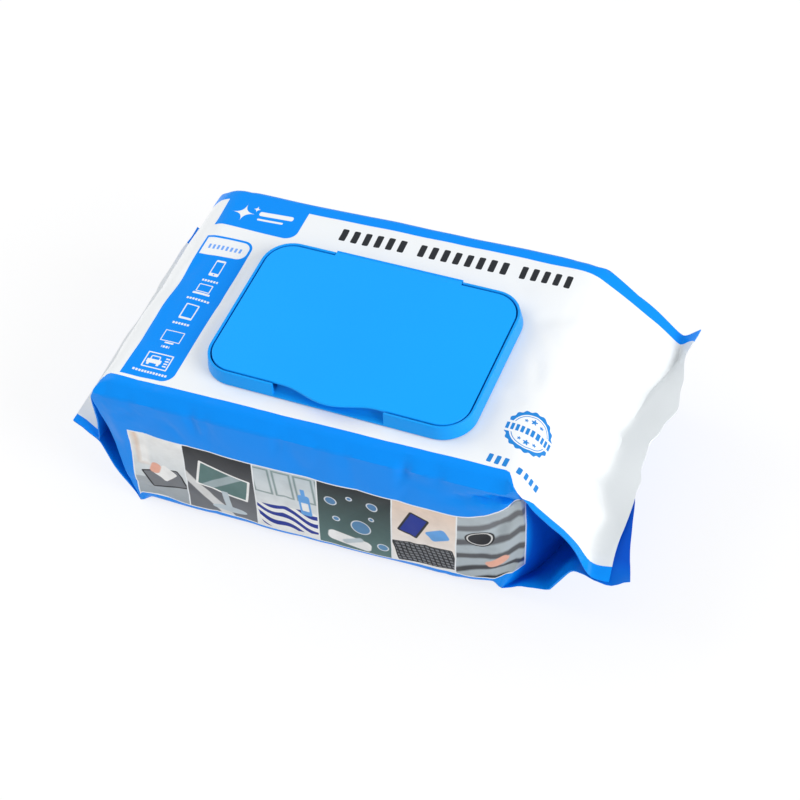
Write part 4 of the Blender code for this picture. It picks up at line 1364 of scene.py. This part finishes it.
def frame_mesh(sizes):
    """Tray with a rim, cut by the mouth, the finger scoop and the hinge seat."""
    foot, floor, under, rim = lid_levels(sizes)
    inside = sizes.rim_gap
    outside = inside + sizes.rim_thickness
    foot_out = outside + sizes.rim_draft
    r = sizes.rounding
    levels = [(foot_out - FOOT_CHAMFER, foot), (foot_out, foot + FOOT_CHAMFER)]
    levels += [(outside - r * up, rim - r * (1 - along)) for along, up in quarter()]
    levels += [(inside + r * (1 - along), rim - r * up) for along, up in quarter()]
    levels.append((inside, floor + FLOOR_FILLET))
    for along, up in quarter(first=1):
        levels.append((inside - FLOOR_FILLET * up, floor + FLOOR_FILLET * (1 - along)))
    tray = stacked([(rim_ring(sizes, out), height) for out, height in levels])

    front_foot = -(sizes.lid_width / 2 + outside + sizes.rim_draft)
    shelf_end = front_foot + SCOOP_SHELF
    wall_back = shelf_end + SCOOP_RADIUS + 1 * MM
    scoop_top = under - SEAT_GAP
    gap = crossed((front_foot - BEYOND, floor), (wall_back, rim + BEYOND))
    start, low = front_foot + SCOOP_INSET, floor + SCOOP_STEP
    rise = min(SCOOP_RADIUS, scoop_top - floor)
    scoop = [(start, floor - SCOOP_INSET), (start, low)]
    scoop += [(shelf_end + SCOOP_RADIUS * along, low + rise * up) for along, up in quarter(16)]
    scoop += [(shelf_end + SCOOP_RADIUS, scoop_top), (wall_back, scoop_top), (wall_back, floor - SCOOP_INSET)]

    seat_low = under - SEAT_GAP
    seat = crossed(
        (sizes.lid_width / 2 + inside - BEYOND / 2, seat_low), (-front_foot + BEYOND, rim + BEYOND))
    hinge, ridge_top = HINGE.y - LID_CENTRE.y, HINGE.z - RIDGE_GAP
    ridge = [(hinge - RIDGE_FRONT, seat_low - 0.3 * MM), (hinge - 0.1 * MM, seat_low - 0.6 * MM)]
    ridge += [(hinge + RIDGE_BACK, seat_low), (hinge + RIDGE_BACK, ridge_top), (hinge - RIDGE_FRONT, ridge_top)]
    mouth = rounded_outline(sizes.mouth_length, sizes.mouth_width, sizes.mouth_width / 2 - MERGE, steps=24)
    return carved(tray, "frame", [
        ("DIFFERENCE", bar(gap, sizes.scoop_length / 2)),
        ("UNION", bar(scoop, sizes.scoop_length / 2)),
        ("DIFFERENCE", bar(seat, sizes.hinge_length / 2 + SEAT_GAP)),
        ("UNION", bar(ridge, sizes.hinge_length / 2)),
        ("DIFFERENCE", stacked([(mouth, foot - BEYOND), (mouth, rim + BEYOND)])),
    ], 0.16 * MM)


def lid_mesh(sizes):
    """Panel with rounded edges, a front lip and a hinge tab."""
    under, rim = lid_levels(sizes)[2:]
    r = sizes.rounding * 1.3

    def ring(inset):
        return rounded_outline(
            sizes.lid_length - 2 * inset, sizes.lid_width - 2 * inset, sizes.corner - inset,
            sizes.lip_reach, sizes.lip_length)

    rings = [(ring(FOOT_CHAMFER), under), (ring(0), under + FOOT_CHAMFER)]
    rings += [(ring(r * up), rim - r * (1 - along)) for along, up in quarter()]
    tab_end = HINGE.y - LID_CENTRE.y - 0.5 * MM
    tab_start = sizes.lid_width / 2 - 1.2 * MM
    tab = crossed((tab_start, under + 0.05 * MM), (tab_end, rim - 0.02 * MM))
    return carved(stacked(rings), "lid", [("UNION", bar(tab, sizes.hinge_length / 2))], 0)


class PACK_OT_film(bpy.types.Operator):
    """Builds the thin living hinge between frame and lid."""

    bl_idname = "wipes_pack.film"
    bl_label = "Film pouch"

    def execute(self, context):
        sizes, colours = context.scene.film_sizes, context.scene.pack_colours
        materials = [
            film_material("film_top_print", colours, top_print),
            film_material("film_side_print", colours, side_print),
            film_material("film_back_print", colours, back_print),
        ]
        mesh = mesh_from(film_mesh(sizes), "film_pouch")
        finished(mesh, "film_pouch", materials, "pack", "film_pack", pi / 4.6)
        return {"FINISHED"}


class PACK_OT_frame(bpy.types.Operator):
    """Builds the moulded lid frame with its rim, scoop, hinge seat and mouth."""

    bl_idname = "wipes_pack.frame"
    bl_label = "Lid frame"

    def execute(self, context):
        sizes, colours = context.scene.lid_sizes, context.scene.pack_colours
        material = plastic_material("frame_satin", colours.rim[:])
        finished(frame_mesh(sizes), "frame_tray", [material], "pack", "lid_frame")
        collar = bead_mesh(sizes, 0.0, 1 * MM, 2.2 * MM, lid_levels(sizes).floor)
        finished(collar, "mouth_collar", [material], "pack", None)
        return {"FINISHED"}


class PACK_OT_lid(bpy.types.Operator):
    """Builds the flip lid with its lip, hinge tab and sealing ring."""

    bl_idname = "wipes_pack.lid"
    bl_label = "Flip lid"

    def execute(self, context):
        sizes, colours = context.scene.lid_sizes, context.scene.pack_colours
        material = plastic_material("lid_satin", colours.lid[:])
        finished(lid_mesh(sizes), "lid_panel", [material], "lid", "flip_lid")
        ring = bead_mesh(sizes, 1.4 * MM, 0.9 * MM, 2.4 * MM, lid_levels(sizes).under - 2.4 * MM)
        finished(ring, "lid_sealing_ring", [material], "lid", None)
        return {"FINISHED"}


class PACK_OT_hinge(bpy.types.Operator):
    """Builds the thin living hinge that bends between frame and lid."""

    bl_idname = "wipes_pack.hinge"
    bl_label = "Living hinge"

    def execute(self, context):
        sizes, colours = context.scene.lid_sizes, context.scene.pack_colours
        material = plastic_material("hinge_satin", colours.rim[:])
        mesh = mesh_from(hinge_mesh(sizes), "hinge_web")
        piece = finished(mesh, "hinge_web", [material], None, None)
        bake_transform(piece)
        return {"FINISHED"}


class PACK_OT_label(bpy.types.Operator):
    """Builds the peel label with its pull tab."""

    bl_idname = "wipes_pack.label"
    bl_label = "Peel label"

    def execute(self, context):
        sizes, colours = context.scene.lid_sizes, context.scene.pack_colours
        material = plastic_material("label_film", colours.label[:], 0.05, 0.3)
        finished(label_mesh(sizes), "film_label", [material], "pack", "peel_label")
        return {"FINISHED"}


class PACK_OT_stage(bpy.types.Operator):
    """Builds the pale floor, the studio light and the camera."""

    bl_idname = "wipes_pack.stage"
    bl_label = "Stage"

    def execute(self, context):
        build_stage(context.scene)
        return {"FINISHED"}


def bead_mesh(sizes, out, thickness, height, base):
    """A low ring round the mouth, made by Geometry Nodes: a section swept along a rounded path."""
    tree = bpy.data.node_groups.new("bead", "GeometryNodeTree")
    tree.interface.new_socket("Geometry", in_out="OUTPUT", socket_type="NodeSocketGeometry")
    wanted = {
        "Path Length": sizes.mouth_length + 2 * out + thickness,
        "Path Width": sizes.mouth_width + 2 * out + thickness,
        "Thickness": thickness,
        "Height": height,
    }
    sockets = {
        name: tree.interface.new_socket(name, in_out="INPUT", socket_type="NodeSocketFloat") for name in wanted}
    given = tree.nodes.new("NodeGroupInput").outputs

    def node(kind, inputs, **settings):
        made = tree.nodes.new(kind)
        for name, value in settings.items():
            setattr(made, name, value)
        for key, value in inputs.items():
            if isinstance(value, bpy.types.NodeSocket):
                tree.links.new(value, made.inputs[key])
            else:
                made.inputs[key].default_value = value
        return made.outputs[0] if made.outputs else None

    def rounded(width, height, side, share_of, count):
        """A rectangle whose corners are rounded by a share of one of its sides."""
        sides = {"Width": given[width], "Height": given[height]}
        plain = node("GeometryNodeCurvePrimitiveQuadrilateral", sides)
        radius = node("ShaderNodeMath", {0: given[side], 1: share_of}, operation="MULTIPLY")
        return node("GeometryNodeFilletCurve", {"Curve": plain, "Radius": radius, "Count": count}, mode="POLY")

    path = rounded("Path Length", "Path Width", "Path Width", 0.4999, 24)
    section = rounded("Thickness", "Height", "Thickness", 0.4, 5)
    sweep = node("GeometryNodeCurveToMesh", {"Curve": path, "Profile Curve": section})
    offset = (LID_CENTRE.x, LID_CENTRE.y, base + height / 2)
    placed = node("GeometryNodeTransform", {"Geometry": sweep, "Translation": offset})
    real = node("GeometryNodeRealizeInstances", {"Geometry": placed})
    node("NodeGroupOutput", {0: node("GeometryNodeSetMaterial", {"Geometry": real})})
    carrier = linked("bead_carrier", mesh_from(bmesh.new(), "bead_carrier"))
    modifier = carrier.modifiers.new("bead", "NODES")
    modifier.node_group = tree
    for name, value in wanted.items():
        modifier[sockets[name].identifier] = value
    return settled(carrier)


def hinge_mesh(sizes):
    """A strip with a thin groove along the hinge axis, drawn out along X."""
    y = HINGE.y - LID_CENTRE.y
    top = lid_levels(sizes).rim - 0.03 * MM
    upper, lower = [], []
    reach = 1.0 * MM
    for k in range(25):
        place = lerp(-reach, reach * 0.5, k / 24)
        groove = 0.35 * MM * exp(-(place / (0.22 * MM)) ** 2)
        upper.append((y + place, top - groove))
        lower.append((y + place, HINGE.z - 0.12 * MM + 0.05 * MM * exp(-(place / (0.4 * MM)) ** 2)))
    return bar(upper + lower[::-1], sizes.hinge_length / 2)


def label_mesh(sizes):
    """Thin label over the film's dispensing slot, with a rounded pull tab at its right end."""
    margin, pull, pull_width = 2 * MM, 8 * MM, 14 * MM
    size_x = sizes.mouth_length - 2 * margin - pull
    size_y = sizes.mouth_width - 2 * margin
    sheet = rounded_outline(size_x, size_y, size_y / 2 - MERGE, steps=20)
    tab = rounded_outline(2 * pull, pull_width, pull_width / 2 - MERGE, steps=12)
    layers = []
    for outline_points, offset in ((sheet, -pull / 2), (tab, size_x / 2 - pull / 2)):
        ring = [(x + offset, y) for x, y in outline_points]
        layers.append(stacked([(ring, LABEL_LOW.z), (ring, LABEL_HIGH.z)]))
    return carved(layers[0], "label", [("UNION", layers[1])], 0)


# ---- Stage

FLOOR_HALF = 3.0
FLOOR_GLOW = 1.06
# How much of the floor's own light reflections see
FLOOR_GLOW_SHARE = 0.72
WORLD_LIGHT = 0.605
LAMP_AIM = Vector((0, 0, 0.04))
# Lamps: name, place, size and power
LAMPS = (("key", (1.35, -0.3, 0.78), 1.0, 15.0), ("fill", (-1.3, 0.1, 0.95), 1.2, 9.5))
# The camera that the photograph was taken with: place, lens, and its azimuth, elevation and roll in degrees
CAMERA_PLACE = (0.23754, -0.42437, 0.61053)
CAMERA_LENS = 85.70
CAMERA_ANGLES = (29.095, 50.045, -8.579)


def build_stage(scene):
    mesh = bpy.data.meshes.new("floor")
    corners = [(x * FLOOR_HALF, y * FLOOR_HALF, 0) for x, y in ((-1, -1), (1, -1), (1, 1), (-1, 1))]
    mesh.from_pydata(corners, [], [(0, 1, 2, 3)])
    linked("floor", mesh)
    sheet = Sheet("floor_white")
    sheet.set(Base_Color=(0.86, 0.86, 0.86, 1), Roughness=0.9)
    path = sheet.node("ShaderNodeLightPath")
    glossy, clear = (
        Value(sheet, path.socket.node.outputs[f"Is {kind} Ray"]) for kind in ("Glossy", "Transmission"))
    bright = path.over(glossy).over(clear)
    glow = sheet.node("ShaderNodeEmission", None, {"Color": (1, 1, 1, 1), "Strength": FLOOR_GLOW})
    bare = Value(sheet, sheet.shader.outputs[0])
    seen = sheet.node("ShaderNodeMixShader", None, {0: bright * FLOOR_GLOW_SHARE, 1: bare, 2: glow})
    sheet.tree.links.new(seen.socket, sheet.tree.nodes["Material Output"].inputs["Surface"])
    mesh.materials.append(sheet.material)

    world = scene.world or bpy.data.worlds.new("studio")
    scene.world = world
    world.use_nodes = True
    background = world.node_tree.nodes["Background"]
    background.inputs["Color"].default_value = (1, 1, 1, 1)
    background.inputs["Strength"].default_value = WORLD_LIGHT
    for name, place, size, power in LAMPS:
        data = bpy.data.lights.new(name, "AREA")
        data.shape = "DISK"
        data.size = size
        data.energy = power
        turn = (LAMP_AIM - Vector(place)).to_track_quat("-Z", "Y").to_matrix().to_4x4()
        linked(name, data).matrix_world = Matrix.Translation(place) @ turn

    data = bpy.data.cameras.new("camera")
    data.sensor_width = 36
    data.lens = CAMERA_LENS
    data.clip_start = 0.05
    scene.camera = linked("camera", data)
    azimuth, elevation, roll = (angle * pi / 180 for angle in CAMERA_ANGLES)
    back = Vector((sin(azimuth) * cos(elevation), -cos(azimuth) * cos(elevation), sin(elevation)))
    level = Vector((cos(azimuth), sin(azimuth), 0))
    upright = back.cross(level)
    right = level * cos(roll) + upright * sin(roll)
    up = upright * cos(roll) - level * sin(roll)
    turn = Matrix((right, up, back)).transposed().to_4x4()
    scene.camera.matrix_world = Matrix.Translation(CAMERA_PLACE) @ turn
    scene.view_settings.view_transform = "Standard"


class PACK_PT_sidebar(bpy.types.Panel):
    """Lists the pack's pieces and stage."""

    bl_label = "Wet wipes pack"
    bl_idname = "PACK_PT_sidebar"
    bl_space_type = "VIEW_3D"
    bl_region_type = "UI"
    bl_category = "Wipes Pack"

    def draw(self, context):
        for operator in OPERATORS:
            self.layout.operator(operator.bl_idname)
        for owner in (context.scene.film_sizes, context.scene.lid_sizes, context.scene.pack_colours):
            column = self.layout.column()
            for name in owner.__annotations__:
                column.prop(owner, name)


GROUPS = {"film_sizes": FilmSizes, "lid_sizes": LidSizes, "pack_colours": Colours}
OPERATORS = (PACK_OT_film, PACK_OT_frame, PACK_OT_lid, PACK_OT_hinge, PACK_OT_label, PACK_OT_stage)


def register():
    for made in (*GROUPS.values(), *OPERATORS, PACK_PT_sidebar):
        bpy.utils.register_class(made)
    for name, group in GROUPS.items():
        setattr(bpy.types.Scene, name, bpy.props.PointerProperty(type=group))


def unregister():
    for name in GROUPS:
        delattr(bpy.types.Scene, name)
    for made in reversed((*GROUPS.values(), *OPERATORS, PACK_PT_sidebar)):
        bpy.utils.unregister_class(made)


def main():
    register()
    for operator in ("film", "frame", "lid", "hinge", "label", "stage"):
        getattr(bpy.ops.wipes_pack, operator)()


if __name__ == "__main__":
    main()
